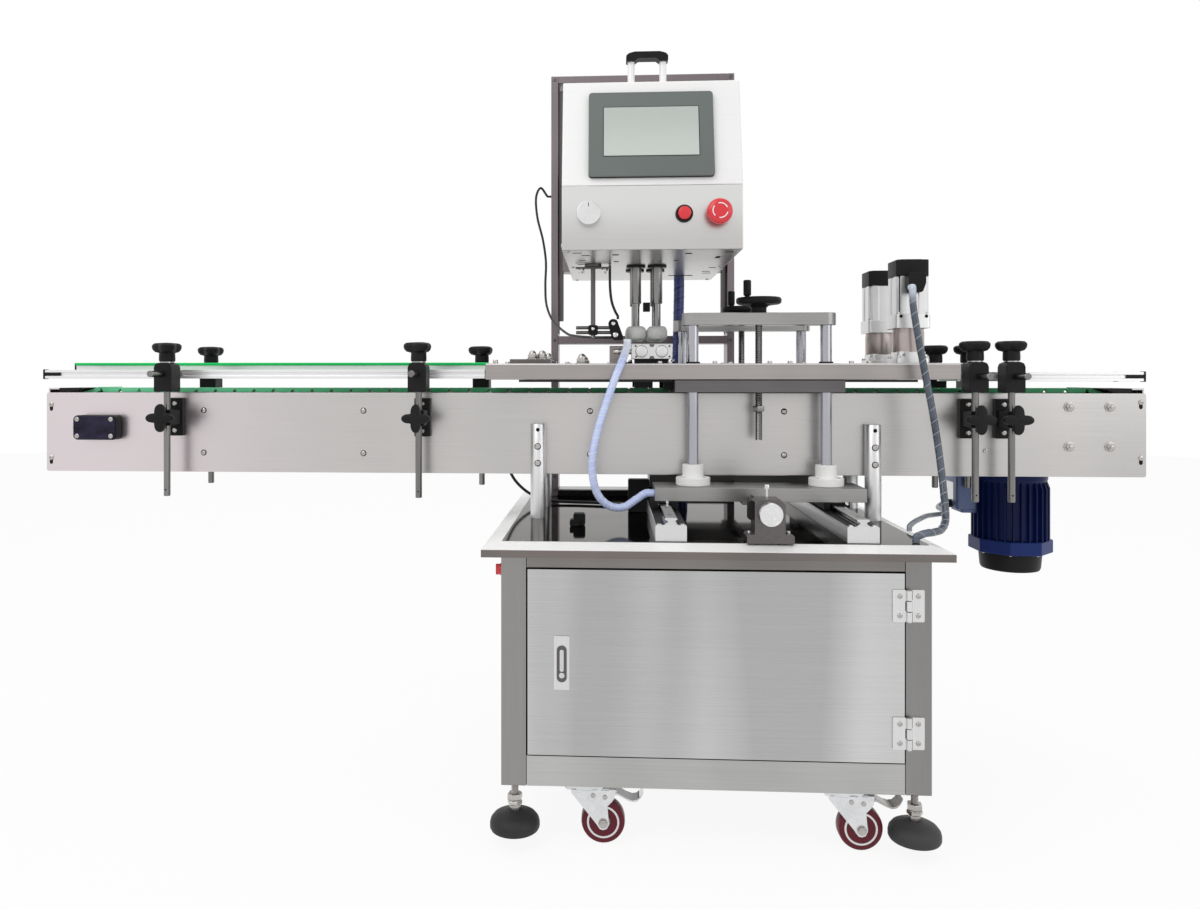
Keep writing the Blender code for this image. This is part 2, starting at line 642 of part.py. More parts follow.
def conveyor_chain():
    """Flat-top plates on one loop: a plate's top, a slot, then the next plate."""
    total, count, straight, arc = chain_path(LOOP_RADIUS)
    pitch = total / count
    inner, outer = [], []
    for link in range(count):
        for share, height in ((0.0, 0.35), (CHAIN_SLOT / pitch, 1.0), (1.0 - CHAIN_SLOT / pitch, 1.0)):
            (x, z), (nx, nz) = on_loop((link + share) * pitch % total, LOOP_RADIUS, straight, arc)
            outer.append((x + nx * CHAIN_PLATE * height, z + nz * CHAIN_PLATE * height))
            if share == 0.0:
                inner.append((x, z))
    bm = bmesh.new()
    half = CHAIN_WIDTH / 2
    rings = {}
    for key, points in (("inner", inner), ("outer", outer)):
        for side in (-1, 1):
            rings[key, side] = [bm.verts.new((x, side * half, LOOP_Z + z)) for x, z in points]
    for key in ("inner", "outer"):
        size = len(rings[key, 1])
        for i in range(size):
            j = (i + 1) % size
            bm.faces.new((rings[key, -1][i], rings[key, -1][j], rings[key, 1][j], rings[key, 1][i]))
    for side in (-1, 1):
        near, far = rings["inner", side], rings["outer", side]
        for k in range(len(near)):
            n = (k + 1) % len(near)
            strip = [far[(3 * k + m) % len(far)] for m in range(4)]
            bm.faces.new([near[k], *strip, near[n]])
    piece("conveyor_chain", "green_plastic", [raw(bm)])


def end_rollers():
    """Sprockets on their shafts at both ends of the loop."""
    reach = HALF_WIDTH - PANEL_SHEET - GAP
    for name, x, out in (("idler_sprocket", -SPROCKET_X, reach), ("drive_sprocket", SPROCKET_X, HALF_WIDTH + 0.030)):
        centre = (x, 0, LOOP_Z)
        teeth = turned([(SHAFT_RADIUS, -reach), (SHAFT_RADIUS, -0.022), (SPROCKET_RADIUS - 0.006, -0.022),
                        (SPROCKET_RADIUS, -0.018), (SPROCKET_RADIUS, 0.018), (SPROCKET_RADIUS - 0.006, 0.022),
                        (SHAFT_RADIUS, 0.022), (SHAFT_RADIUS, out)], centre, "Y", 24)
        piece(name, "white_nylon", [teeth], origin=centre)


def panel(side):
    """A side panel folded to a channel, its flanges cut back at both ends."""
    half = CONVEYOR_LENGTH / 2
    low, high = PANEL_BOTTOM, PANEL_TOP
    web_y = sorted((side * HALF_WIDTH, side * (HALF_WIDTH - PANEL_SHEET)))
    flange_x = (-half + PANEL_NOTCH, half - PANEL_NOTCH)
    flange_y = sorted((side * (HALF_WIDTH - PANEL_SHEET + BITE / 2), side * (HALF_WIDTH - PANEL_FLANGE)))
    return [prism(rounded((-half, half), (low, high), 0.004, 2), "Y", *web_y),
            block(flange_x, flange_y, (low, low + PANEL_SHEET)),
            block(flange_x, flange_y, (high - PANEL_SHEET, high))]


def rail_bracket(side, x, adds, cuts):
    """A black clamp on the panel, bored for the rail's post, with its star grip in front."""
    face = side * HALF_WIDTH
    post = side * POST_Y
    middle = (BRACKET_LOW + BRACKET_HIGH) / 2
    adds.append(block(span(x, BRACKET_WIDTH), sorted((face - side * BITE, face + side * 0.012)), (BRACKET_LOW, BRACKET_HIGH)))
    adds.append(block(span(x, 0.024), sorted((face, post + side * 0.012)), span(middle, 0.030)))
    cuts.append(rod((x, post, 0), POST_RADIUS + RUNNING, middle - 0.030, middle + 0.030, sides=8))
    grip = prism(star((x, middle), STAR_RADIUS), "Y", *sorted((post + side * 0.020, post + side * 0.034)))
    neck = rod((x, 0, middle), 0.009, *sorted((post + side * 0.011, post + side * 0.021)), "Y", 8)
    adds += [grip, neck]


def conveyor_frame():
    """Both side panels with the end covers, supports and rail clamps fixed to them."""
    adds, cuts = [], []
    for side in (-1, 1):
        adds += panel(side)
        for guide in GUIDES:
            if guide[1] == side:
                for x in guide[5]:
                    rail_bracket(side, x, adds, cuts)
        for x in SUPPORT_X:
            y = side * (HALF_WIDTH + SUPPORT_RADIUS - 0.0008)
            adds.append(rod((x, y, 0), SUPPORT_RADIUS, TABLE_TOP + GAP, SUPPORT_TOP, sides=16))
    cuts.append(rod((SPROCKET_X, HALF_WIDTH, LOOP_Z), SHAFT_RADIUS + GAP, -0.01, 0.01, "Y", 16))
    half = CONVEYOR_LENGTH / 2
    reach = HALF_WIDTH - PANEL_SHEET + BITE
    lip = PANEL_TOP + 0.009
    for side in (-1, 1):
        out = side * (half - 0.002)
        adds.append(block(sorted((out, side * (half - 0.005))), (-reach, reach), (PANEL_BOTTOM + 0.004, lip)))
        adds.append(block(sorted((out - side * 0.0002, side * (half - 0.0235))), (-reach - 0.0005, reach + 0.0005), (lip - 0.003, lip - 0.0002)))
    piece("conveyor_frame", "stainless", adds, cuts)


def chain_bed():
    """The wear rail under the carrying run, on its cross ties."""
    top = CHAIN_TOP - CHAIN_PLATE - GAP
    reach = HALF_WIDTH - PANEL_SHEET - GAP
    straight = (-SPROCKET_X + SPROCKET_RADIUS + 0.012, SPROCKET_X - SPROCKET_RADIUS - 0.012)
    adds = [block(straight, (-BED_WIDTH / 2, BED_WIDTH / 2), (top - BED_HEIGHT, top))]
    ties = [straight[0] + 0.01 + i * (straight[1] - straight[0] - 0.045) / 5 for i in range(6)]
    for x in ties:
        adds.append(block((x, x + 0.025), (-reach, reach), (top - BED_HEIGHT - 0.020, top - BED_HEIGHT + BITE)))
    piece("chain_bed", "white_nylon", adds)


def junction_box():
    """A small black housing on the front panel, with a round stud at its left."""
    x = (-0.9625, -0.879)
    z = (0.628, 0.675)
    face = -HALF_WIDTH - GAP
    shell = prism(rounded(x, z, 0.008), "Y", face - 0.026, face)
    stud = rod((x[0], face - 0.012, (z[0] + z[1]) / 2), 0.003, -0.008, 0.002, "X", 10)
    piece("junction_box", "black_plastic", [shell, stud])


def belt_motor():
    """A finned motor hung from a worm gearbox behind the drive end."""
    adds = []
    ring = []
    for i in range(MOTOR_FINS * 4):
        angle = 2 * math.pi * i / (MOTOR_FINS * 4)
        reach = MOTOR_RADIUS + (0.007 if i % 4 < 2 else 0.0)
        ring.append((MOTOR_X + reach * math.cos(angle), MOTOR_Y + reach * math.sin(angle)))
    adds.append(prism(ring, "Z", MOTOR_BAND - BITE, MOTOR_TOP - 0.020))
    adds.append(rod((MOTOR_X, MOTOR_Y, 0), MOTOR_RADIUS + 0.004, MOTOR_TOP - 0.021, MOTOR_TOP, sides=18))
    adds.append(rod((MOTOR_X, MOTOR_Y, 0), MOTOR_RADIUS + 0.013, MOTOR_CAP, MOTOR_BAND, sides=8))
    adds.append(turned([(MOTOR_RADIUS - 0.006, MOTOR_END), (MOTOR_RADIUS - 0.001, MOTOR_END + 0.006),
                        (MOTOR_RADIUS + 0.004, MOTOR_CAP + BITE)], (MOTOR_X, MOTOR_Y, 0), sides=18))
    adds.append(block((MOTOR_X - MOTOR_RADIUS - 0.036, MOTOR_X - MOTOR_RADIUS + 0.010), (MOTOR_Y - 0.015, MOTOR_Y + 0.055),
                      (MOTOR_TOP - 0.082, MOTOR_TOP - 0.012)))
    case_y = (HALF_WIDTH + GAP, MOTOR_Y + 0.040)
    adds.append(block((MOTOR_X - 0.045, SPROCKET_X + 0.045), case_y, (MOTOR_TOP - BITE, LOOP_Z + 0.045)))
    cuts = [rod((SPROCKET_X, HALF_WIDTH, LOOP_Z), SHAFT_RADIUS + RUNNING, -0.01, 0.032, "Y", 16)]
    piece("belt_motor", "blue_paint", adds, cuts)


# Guide rails

def knob(x, y, low):
    """A clamp knob: a round stem under a winged top."""
    stem = turned([(KNOB_STEM - 0.002, low), (KNOB_STEM, low + KNOB_NECK + 0.002)], (x, y, 0), sides=8)
    top = low + KNOB_NECK
    wings = prism(star((x, y), KNOB_RADIUS, 3, 0.62, 15), "Z", top, top + KNOB_HEIGHT)
    return [stem, wings]


def guide_rail(name, side, start, end, top, posts):
    y = side * RAIL_Y
    adds = [block((start, end), span(y, RAIL_DEPTH), (top - RAIL_HEIGHT, top))]
    inner = sorted((y - side * (RAIL_DEPTH / 2 - BITE), y - side * (RAIL_DEPTH / 2 + RAIL_STRIP)))
    adds.append(block((start + 0.030, end - 0.006), inner, (top - RAIL_HEIGHT + 0.003, top + 0.001)))
    width, depth, height = HEAD_SIZE
    for x in posts:
        head_z = (HEAD_BOTTOM, HEAD_BOTTOM + height)
        adds.append(block(span(x, width), span(side * POST_Y, depth), head_z))
        adds.append(rod((x, side * POST_Y, 0), POST_RADIUS, POST_BOTTOM, HEAD_BOTTOM + BITE, sides=8))
        cross = sorted((side * (POST_Y + 0.065), y + side * (RAIL_DEPTH / 2 - 0.002)))
        adds.append(rod((x, 0, top - RAIL_HEIGHT / 2), POST_RADIUS, *cross, "Y", 8))
        adds += knob(x, side * POST_Y, HEAD_BOTTOM + height - BITE)
    piece(name, "aluminium", adds)


# Capping station

def bed_plate(name, side):
    """A bed plate on one side of the line with the guide block below that runs on two columns."""
    near, far = side * BED_NEAR, side * BED_FAR
    low = BED_TOP - BED_THICK
    adds = [block((BED_START, BED_END), sorted((near, far)), (low, BED_TOP))]
    adds.append(block(CARRIER_X, sorted((side * (grip_y() + GRIP_PULLEY_RADIUS + 2 * GRIP_BELT_THICK), far)), (low - CARRIER_THICK, low + BITE)))
    cuts = []
    for x in COLUMN_X:
        cuts.append(rod((x, side * COLUMN_Y, 0), COLUMN_RADIUS + RUNNING, low - 0.03, BED_TOP + BITE, sides=16))
    cuts.append(rod((SCREW_X, side * COLUMN_Y, 0), SCREW_RADIUS + RUNNING, low - 0.03, BED_TOP + BITE, sides=12))
    for x in GRIP_PULLEY_X:
        cuts.append(rod((x, side * grip_y(), 0), GRIP_SHAFT_RADIUS + RUNNING, low - BITE, BED_TOP + BITE, sides=12))
    piece(name, "stainless", adds, cuts)


def grip_y():
    return BED_NEAR + GRIP_PULLEY_RADIUS - 0.004


def grip_belt(name, side):
    """A flat gripping belt round its two pulleys, hung just under the bed."""
    y = side * grip_y()
    outer = GRIP_PULLEY_RADIUS + GRIP_BELT_THICK
    top = BED_TOP - BED_THICK - GAP
    z = (top - GRIP_BELT_HEIGHT, top)

    def loop(radius):
        points = []
        for x, start in ((GRIP_PULLEY_X[1], -90), (GRIP_PULLEY_X[0], 90)):
            for k in range(9):
                angle = math.radians(start + 22.5 * k)
                points.append((x + radius * math.cos(angle), y + radius * math.sin(angle)))
        return points

    hollow = prism(loop(GRIP_PULLEY_RADIUS + GAP), "Z", z[0] - BITE, z[1] + BITE)
    piece(name, "black_rubber", [prism(loop(outer), "Z", *z)], [hollow])


def side_motor(name, side):
    """A square motor with its round gearbox, standing on the bed over the belt's pulley."""
    x, y = SIDE_MOTOR_X, side * SIDE_MOTOR_Y
    base = BED_TOP + GAP
    half = SIDE_MOTOR_SIZE / 2
    adds = [block(span(x, SIDE_MOTOR_FLANGE), span(y, SIDE_MOTOR_FLANGE), (base, base + 0.018)),
            rod((x, y, 0), half, base + 0.017, base + 0.067, sides=18),
            block(span(x, SIDE_MOTOR_FLANGE), span(y, SIDE_MOTOR_FLANGE), (base + 0.066, base + 0.088)),
            prism(rounded(span(x, SIDE_MOTOR_SIZE), span(y, SIDE_MOTOR_SIZE), 0.007, 2), "Z", base + 0.087, SIDE_MOTOR_TOP)]
    plug = block(span(x, 0.026), sorted((y + side * (half - BITE), y + side * (half + 0.022))),
                 (SIDE_MOTOR_TOP - 0.052, SIDE_MOTOR_TOP - 0.018))
    adds.append(plug)
    piece(name, "aluminium", adds)


def yoke(name, side):
    """A round-ended top plate with its two columns and their stop rings."""
    y = side * COLUMN_Y
    outline = rounded(YOKE_X, span(y, YOKE_DEPTH), YOKE_DEPTH / 2 - BITE, 6)
    adds = [prism(outline, "Z", YOKE_BOTTOM, YOKE_BOTTOM + YOKE_THICK)]
    for x in COLUMN_X:
        adds.append(rod((x, y, 0), COLUMN_RADIUS, SLIDE_TOP + GAP, YOKE_BOTTOM + BITE, sides=16))
    cuts = [rod((SCREW_X, y, 0), SCREW_RADIUS + RUNNING, YOKE_BOTTOM - BITE, YOKE_BOTTOM + YOKE_THICK + BITE, sides=12)]
    piece(name, "chrome", adds, cuts)


def handwheel(name, side):
    """A dished handwheel with its crank, keyed to the lifting screw."""
    y = side * COLUMN_Y
    low = YOKE_BOTTOM + YOKE_THICK + GAP
    rim = low + 0.016
    wheel = turned([(HANDWHEEL_HUB, low), (HANDWHEEL_HUB, low + 0.012), (HANDWHEEL_RADIUS - 0.010, rim),
                    (HANDWHEEL_RADIUS, rim + 0.003), (HANDWHEEL_RADIUS, rim + 0.009), (HANDWHEEL_RADIUS - 0.004, rim + 0.012),
                    (HANDWHEEL_RADIUS - 0.014, rim + 0.007), (HANDWHEEL_HUB, rim + 0.008)], (SCREW_X, y, 0), sides=16)
    crank_x = SCREW_X - (HANDWHEEL_RADIUS - 0.012)
    crank = turned([(CRANK_RADIUS - 0.002, rim + 0.004), (CRANK_RADIUS - 0.001, rim + 0.016), (CRANK_RADIUS + 0.002, rim + 0.040),
                    (CRANK_RADIUS, rim + 0.044)], (crank_x, y, 0), sides=10)
    screw = rod((SCREW_X, y, 0), SCREW_RADIUS, SCREW_BOTTOM, low + BITE, sides=12)
    nut = prism(hexagon(SCREW_X, y, 0.011), "Z", 0.6855, 0.6955)
    piece(name, "black_plastic", [wheel, crank, screw, nut], origin=(SCREW_X, y, low))


def cross_slide(name, side):
    """A plate on four runner blocks, with flanged bushes that hold the columns."""
    y = sorted((side * SLIDE_NEAR, side * SLIDE_FAR))
    low = SLIDE_TOP - SLIDE_THICK
    adds = [block(SLIDE_X, y, (low, SLIDE_TOP))]
    cuts = []
    for x in TRACK_X:
        adds.append(block(span(x, 0.044), y, (TRACK_BASE_TOP + 0.002, low + BITE)))
        cuts.append(block(span(x, TRACK_RAIL + 2 * GAP), (y[0] - BITE, y[1] + BITE), (TRACK_BASE_TOP, TRACK_RAIL_TOP + GAP)))
    for x in COLUMN_X:
        adds.append(turned([(BUSH_FLANGE, SLIDE_TOP - BITE), (BUSH_FLANGE, SLIDE_TOP + BUSH_BASE),
                            (BUSH_RADIUS, SLIDE_TOP + BUSH_BASE), (BUSH_RADIUS, BUSH_TOP)],
                           (x, side * COLUMN_Y, 0), sides=14))
        cuts.append(rod((x, side * COLUMN_Y, 0), COLUMN_RADIUS + GAP, SLIDE_TOP, BUSH_TOP + BITE, sides=16))
    nut = block(span(KNOB_X, 0.030), y, (WIDTH_SCREW_Z - 0.012, low + BITE))
    adds.append(nut)
    cuts.append(rod((KNOB_X, 0, WIDTH_SCREW_Z), WIDTH_SCREW_RADIUS + RUNNING, y[0] - BITE, y[1] + BITE, "Y", 14))
    piece(name, "stainless", adds, cuts)


def width_knob():
    centre = (KNOB_X, 0, WIDTH_SCREW_Z)
    face = WIDTH_FACE - GAP
    grip = rod(centre, WIDTH_KNOB_RADIUS, face - 0.020, face, "Y", 24)
    screw = rod(centre, WIDTH_SCREW_RADIUS, face - BITE, SLIDE_FAR + 0.020, "Y", 14)
    piece("width_knob", "aluminium", [grip, screw], origin=centre)


# Head

def gantry():
    x0, x1 = GANTRY_X
    y = GANTRY_Y
    foot = TABLE_TOP + GAP
    adds = [block((x0, x1), y, (foot, GANTRY_TOP))]
    t = GANTRY_POST
    inner = (x0 + t, x1 - t)
    deep = (y[0] - BITE, y[1] + BITE)
    cuts = [block(inner, deep, (foot - BITE, GANTRY_TIE[0])),
            block(inner, deep, (GANTRY_TIE[1], GANTRY_TOP - t))]
    for x, side in ((x0 + t, 1), (x1 - t, -1)):
        adds.append(block(sorted((x - side * BITE, x + side * RUNNER_RAIL)), span((y[0] + y[1]) / 2, 0.020),
                          (0.873, GANTRY_TOP - t - 0.010)))
    piece("gantry", "stainless", adds, cuts)


def head_housing():
    outline = [(HOUSING_FRONT, HOUSING_BOTTOM), (HOUSING_FRONT, HOUSING_FOLD), (HOUSING_FRONT + HOUSING_LEAN, HOUSING_TOP),
               (HOUSING_BACK, HOUSING_TOP), (HOUSING_BACK, HOUSING_BOTTOM)]
    adds = [prism(outline, "X", *HOUSING_X)]
    gap = (GANTRY_X[0] + GANTRY_POST + RUNNER_RAIL + GAP, GANTRY_X[1] - GANTRY_POST - RUNNER_RAIL - GAP)
    carriage = (HOUSING_BACK - BITE, sum(GANTRY_Y) / 2 + 0.012)
    adds.append(block(gap, carriage, (HOUSING_BOTTOM + 0.020, HOUSING_TOP - 0.060)))
    for x in SPINDLE_X:
        for y in (-SPINDLE_Y, SPINDLE_Y):
            adds.append(rod((x, y, 0), SLEEVE_RADIUS, SLEEVE_BOTTOM, HOUSING_BOTTOM + BITE, sides=16))
    cuts = []
    for x in SPINDLE_X:
        for y in (-SPINDLE_Y, SPINDLE_Y):
            cuts.append(rod((x, y, 0), SPINDLE_RADIUS + RUNNING, SLEEVE_BOTTOM - BITE, HOUSING_BOTTOM + 0.032, sides=16))
    for x, radius in ((ESTOP_X, 0.011), (BUTTON_X, 0.009), (DIAL_X, 0.0035)):
        cuts.append(rod((x, HOUSING_FRONT, CONTROLS_Z), radius + RUNNING, -BITE, 0.036, "Y", 16))
    lift_x = (0.103, 0.166)
    for x in lift_x:
        adds.append(rod((x, HANDLE_Y, 0), 0.007, HOUSING_TOP - BITE, HOUSING_TOP + 0.124, sides=12))
    low = HOUSING_TOP + 0.122
    grip = [(lift_x[0] - 0.010, low), (lift_x[0] - 0.010, low + 0.012), (lift_x[0] + 0.004, low + 0.018),
            (lift_x[1] - 0.004, low + 0.018), (lift_x[1] + 0.010, low + 0.012), (lift_x[1] + 0.010, low)]
    adds.append(prism(grip, "Y", HANDLE_Y - 0.014, HANDLE_Y + 0.014))
    adds.append(turned([(0.021, HOUSING_TOP - BITE), (0.020, HOUSING_TOP + 0.006), (0.010, HOUSING_TOP + 0.011), (0, HOUSING_TOP + 0.012)],
                       (0.236, 0.0, 0), sides=16))
    piece("head_housing", "stainless", adds, cuts, origin=(0, sum(GANTRY_Y) / 2, HOUSING_BOTTOM))


def touch_panel():
    """The panel lies on the leaning face: drawn upright, then tipped about the fold."""
    width = PANEL_X
    outline = rounded(width, PANEL_RISE, 0.006, 3)
    shell = prism(outline, "Y", -PANEL_THICK - GAP, -GAP)
    tip = math.atan2(HOUSING_LEAN, HOUSING_TOP - HOUSING_FOLD)
    place = Matrix.Translation((0, HOUSING_FRONT, HOUSING_FOLD)) @ Matrix.Rotation(-tip, 4, "X")
    shell.data.transform(place)
    piece("touch_panel", "grey_plastic", [shell])


def controls():
    face = HOUSING_FRONT - GAP
    centre = (ESTOP_X, 0, CONTROLS_Z)
    mushroom = turned([(0.011, face + 0.025), (0.011, face - 0.010), (ESTOP_RADIUS - 0.002, face - 0.014),
                       (ESTOP_RADIUS, face - 0.020), (ESTOP_RADIUS - 0.002, face - 0.026), (ESTOP_RADIUS * 0.5, face - 0.029),
                       (0, face - 0.030)], centre, "Y", 20)
    piece("emergency_stop", "red_plastic", [mushroom], origin=(ESTOP_X, face, CONTROLS_Z))
    centre = (BUTTON_X, 0, CONTROLS_Z)
    cap = turned([(0.009, face + 0.025), (0.009, face - 0.007), (BUTTON_RADIUS - 0.003, face - 0.007), (BUTTON_RADIUS - 0.003, face - 0.013),
                  (BUTTON_RADIUS - 0.005, face - 0.014)], centre, "Y", 24)
    piece("push_button", "red_plastic", [cap], origin=(BUTTON_X, face, CONTROLS_Z))
    centre = (DIAL_X, 0, CONTROLS_Z)
    dial = turned([(0.0035, face + 0.025), (0.0035, face - BITE), (DIAL_RADIUS, face - BITE), (DIAL_RADIUS, face - 0.018), (DIAL_RADIUS - 0.002, face - 0.020)],
                  centre, "Y", 24)
    piece("speed_dial", "aluminium", [dial], origin=(DIAL_X, face, CONTROLS_Z))


def spindles():
    for x, col in zip(SPINDLE_X, ("left", "right")):
        for y, row in ((-SPINDLE_Y, "front"), (SPINDLE_Y, "rear")):
            low = CAP_WHEEL_BOTTOM
            top = low + CAP_WHEEL_HEIGHT
            wheel = turned([(CAP_WHEEL_RADIUS - 0.003, low), (CAP_WHEEL_RADIUS, low + 0.004), (CAP_WHEEL_RADIUS, top - 0.005),
                            (CAP_WHEEL_RADIUS - 0.003, top)], (x, y, 0), sides=20)
            shaft = rod((x, y, 0), SPINDLE_RADIUS, top - BITE, HOUSING_BOTTOM + 0.030, sides=16)
            piece(f"spindle_{row}_{col}", "white_nylon", [wheel, shaft], origin=(x, y, low))


def clamp_cylinder():
    """A twin-piston block on its base, with the air fitting at its left."""
    y = CLAMP_Y
    base = BED_TOP + GAP
    adds = [block(CLAMP_X, y, CLAMP_Z), block((CLAMP_X[0] + 0.006, CLAMP_X[1] - 0.006), (y[0] + 0.004, y[1]), (base, CLAMP_Z[0] + BITE))]
    z = sum(CLAMP_Z) / 2
    for x in (CLAMP_X[0] + 0.017, CLAMP_X[1] - 0.017):
        adds.append(rod((x, 0, z), 0.0105, y[0] - 0.0015, y[0] + BITE, "Y", 20))
    adds.append(turned([(0.0035, -0.020), (0.0055, -0.016), (0.0055, -0.006), (0.0035, -0.005), (0.0035, BITE)], (CLAMP_X[0], y[0] + 0.012, z), "X", 12))
    piece("clamp_cylinder", "aluminium", adds)


def sensor_arm():
    """A drop rod under the head with its clamp, cross rods and the sensor's fork."""
    x, y = SENSOR_X, SENSOR_Y
    top = HOUSING_BOTTOM - GAP
    adds = [rod((x, y, 0), 0.0045, SENSOR_BOTTOM, top, sides=12), rod((x, y, 0), 0.016, top - 0.004, top, sides=16),
            block(span(x, 0.018), span(y, 0.020), span(SENSOR_ARM_Z, 0.016))]
    for z in (SENSOR_ARM_Z - 0.0045, SENSOR_ARM_Z + 0.0045):
        adds.append(rod((0, y, z), 0.0032, x - 0.032, SENSOR_BODY_X, "X", 10))
    adds.append(prism(rounded(span(SENSOR_BODY_X, 0.022), (SENSOR_ARM_Z - 0.020, SENSOR_ARM_Z + 0.020), 0.010, 5), "Y", y - 0.012, y + 0.012))
    piece("sensor_arm", "black_plastic", adds)


# Cords, with their routes' own points

SPIRAL_HOSE = [(0.0922, -0.1082, 0.8165), (0.0922, -0.1082, 0.8050), (0.0870, -0.1230, 0.789), (0.0815, -0.1380, 0.774),
               (0.0713, -0.1490, 0.7500), (0.0553, -0.155, 0.7054), (0.0412, -0.160, 0.6613), (0.0325, -0.164, 0.6229),
               (0.0290, -0.165, 0.5912), (0.0325, -0.164, 0.5595), (0.0430, -0.160, 0.5340), (0.0624, -0.154, 0.5185),
               (0.0854, -0.148, 0.5170), (0.1060, -0.142, 0.5290), (0.1250, -0.139, 0.5410), (0.1396, -0.139, 0.5410)]
MOTOR_SLEEVE = [(0.588, -0.1376, 0.905), (0.588, -0.146, 0.905), (0.587, -0.153, 0.870), (0.594, -0.160, 0.810),
                (0.602, -0.165, 0.758), (0.611, -0.170, 0.703), (0.6177, -0.176, 0.650), (0.6208, -0.187, 0.600),
                (0.620, -0.205, 0.550), (0.610, -0.240, 0.516), (0.592, -0.272, 0.503), (0.572, -0.291, 0.501),
                (0.556, -0.300, 0.5005), (0.541, -0.304, 0.4950), (0.541, -0.304, 0.4868)]
SENSOR_CABLE = [(0.0605, -0.050, 0.9583), (0.0605, -0.050, 0.945), (0.0610, -0.0505, 0.915), (0.0640, -0.052, 0.890),
                (0.0702, -0.0545, 0.8720), (0.0755, -0.056, 0.8620), (0.0755, -0.056, 0.8565)]
FRAME_CABLE = [(-0.0686, 0.250, 1.150), (-0.077, 0.250, 1.150), (-0.092, 0.243, 1.168), (-0.1019, 0.236, 1.145),
               (-0.0985, 0.231, 1.100), (-0.086, 0.226, 1.050), (-0.0790, 0.221, 1.000), (-0.0795, 0.210, 0.950),
               (-0.0760, 0.195, 0.905), (-0.059, 0.150, 0.8668), (-0.0282, 0.080, 0.8378), (-0.0085, 0.040, 0.8298),
               (0.0283, -0.020, 0.8240), (0.0540, -0.056, 0.8222), (0.0642, -0.056, 0.8222)]
BED_CABLE = [(-0.165, 0.0635, 0.600), (-0.165, 0.073, 0.600), (-0.160, 0.097, 0.588), (-0.152, 0.110, 0.565),
             (-0.135, 0.115, 0.532), (-0.105, 0.115, 0.506), (-0.065, 0.113, 0.4925), (-0.020, 0.108, 0.4900),
             (0.030, 0.100, 0.4900), (0.080, 0.084, 0.4900), (0.108, 0.064, 0.4905), (0.116, 0.052, 0.4920), (0.116, 0.052, 0.4868)]
MOTOR_CABLE = [(0.7617, 0.150, 0.488), (0.748, 0.150, 0.488), (0.730, 0.130, 0.482), (0.718, 0.060, 0.4847),
               (0.690, 0.000, 0.488), (0.6639, -0.040, 0.492), (0.628, -0.100, 0.4985), (0.602, -0.145, 0.5005),
               (0.582, -0.172, 0.4985), (0.571, -0.181, 0.4920), (0.571, -0.181, 0.4844)]
REAR_HOSE = [(0.207, 0.165, 0.9583), (0.207, 0.165, 0.930), (0.206, 0.165, 0.880), (0.2045, 0.165, 0.820),
             (0.203, 0.167, 0.770), (0.203, 0.172, 0.700), (0.206, 0.182, 0.620), (0.212, 0.195, 0.560),
             (0.217, 0.204, 0.510), (0.217, 0.204, 0.4868)]


def smooth_route(points, diameter):
    """Even steps along a smooth curve through the route's points, with its first and last runs left straight."""
    fine = []
    count = len(points)
    spots = [Vector(p) for p in points]
    for i in range(1, count - 2):
        before, start, end, after = spots[i - 1], spots[i], spots[i + 1], spots[i + 2]
        for k in range(12):
            t = k / 12
            fine.append(0.5 * ((2 * start) + (end - before) * t + (2 * before - 5 * start + 4 * end - after) * t * t
                               + (3 * start - before - 3 * end + after) * t ** 3))
    fine.append(spots[-2])
    length = sum((b - a).length for a, b in zip(fine, fine[1:]))
    steps = max(4, min(76, round(length / (3 * diameter))))
    route, walked, k = [spots[0]], 0.0, 0
    for goal in (length * i / steps for i in range(steps)):
        while walked + (fine[k + 1] - fine[k]).length < goal:
            walked += (fine[k + 1] - fine[k]).length
            k += 1
        route.append(fine[k].lerp(fine[k + 1], (goal - walked) / (fine[k + 1] - fine[k]).length))
    return route + [fine[-1], spots[-1]]


def cord(name, colour, points, diameter):
    route = smooth_route(points, diameter)
    curve = bpy.data.curves.new(name, "CURVE")
    curve.dimensions = "3D"
    curve.bevel_depth = diameter / 2
    curve.bevel_resolution = 2
    curve.use_fill_caps = True
    spline = curve.splines.new("POLY")
    spline.points.add(len(route) - 1)
    for point, place in zip(spline.points, route):
        point.co = (*place, 1.0)
    curve.materials.append(material(colour))
    bpy.context.scene.collection.objects.link(bpy.data.objects.new(name, curve))


def main():
    clear_scene()
    cabinet_body()
    table_top()
    cabinet_door()
    latch_lever()
    main_switch()
    levelling_feet()
    caster_forks()
    caster_wheels()
    conveyor_chain()
    end_rollers()
    conveyor_frame()
    chain_bed()
    junction_box()
    belt_motor()
    for guide in GUIDES:
        guide_rail(*guide)
    for row, side in (("front", -1), ("rear", 1)):
        bed_plate(f"bed_plate_{row}", side)
        grip_belt(f"grip_belt_{row}", side)
        side_motor(f"side_motor_{row}", side)
        yoke(f"yoke_{row}", side)
        handwheel(f"handwheel_{row}", side)
        cross_slide(f"cross_slide_{row}", side)
    width_knob()
    gantry()
    head_housing()
    touch_panel()
    controls()
    spindles()
    clamp_cylinder()
    sensor_arm()
    cord("air_hose", "clear_blue_hose", SPIRAL_HOSE, 0.014)
    cord("motor_cable", "grey_sleeve", MOTOR_SLEEVE, 0.012)
    cord("sensor_cable", "black_rubber", SENSOR_CABLE, 0.005)
    cord("frame_cable", "black_rubber", FRAME_CABLE, 0.005)
    cord("bed_cable", "black_rubber", BED_CABLE, 0.006)
    cord("belt_motor_cable", "black_rubber", MOTOR_CABLE, 0.009)
    cord("rear_hose", "blue_paint", REAR_HOSE, 0.022)


main()
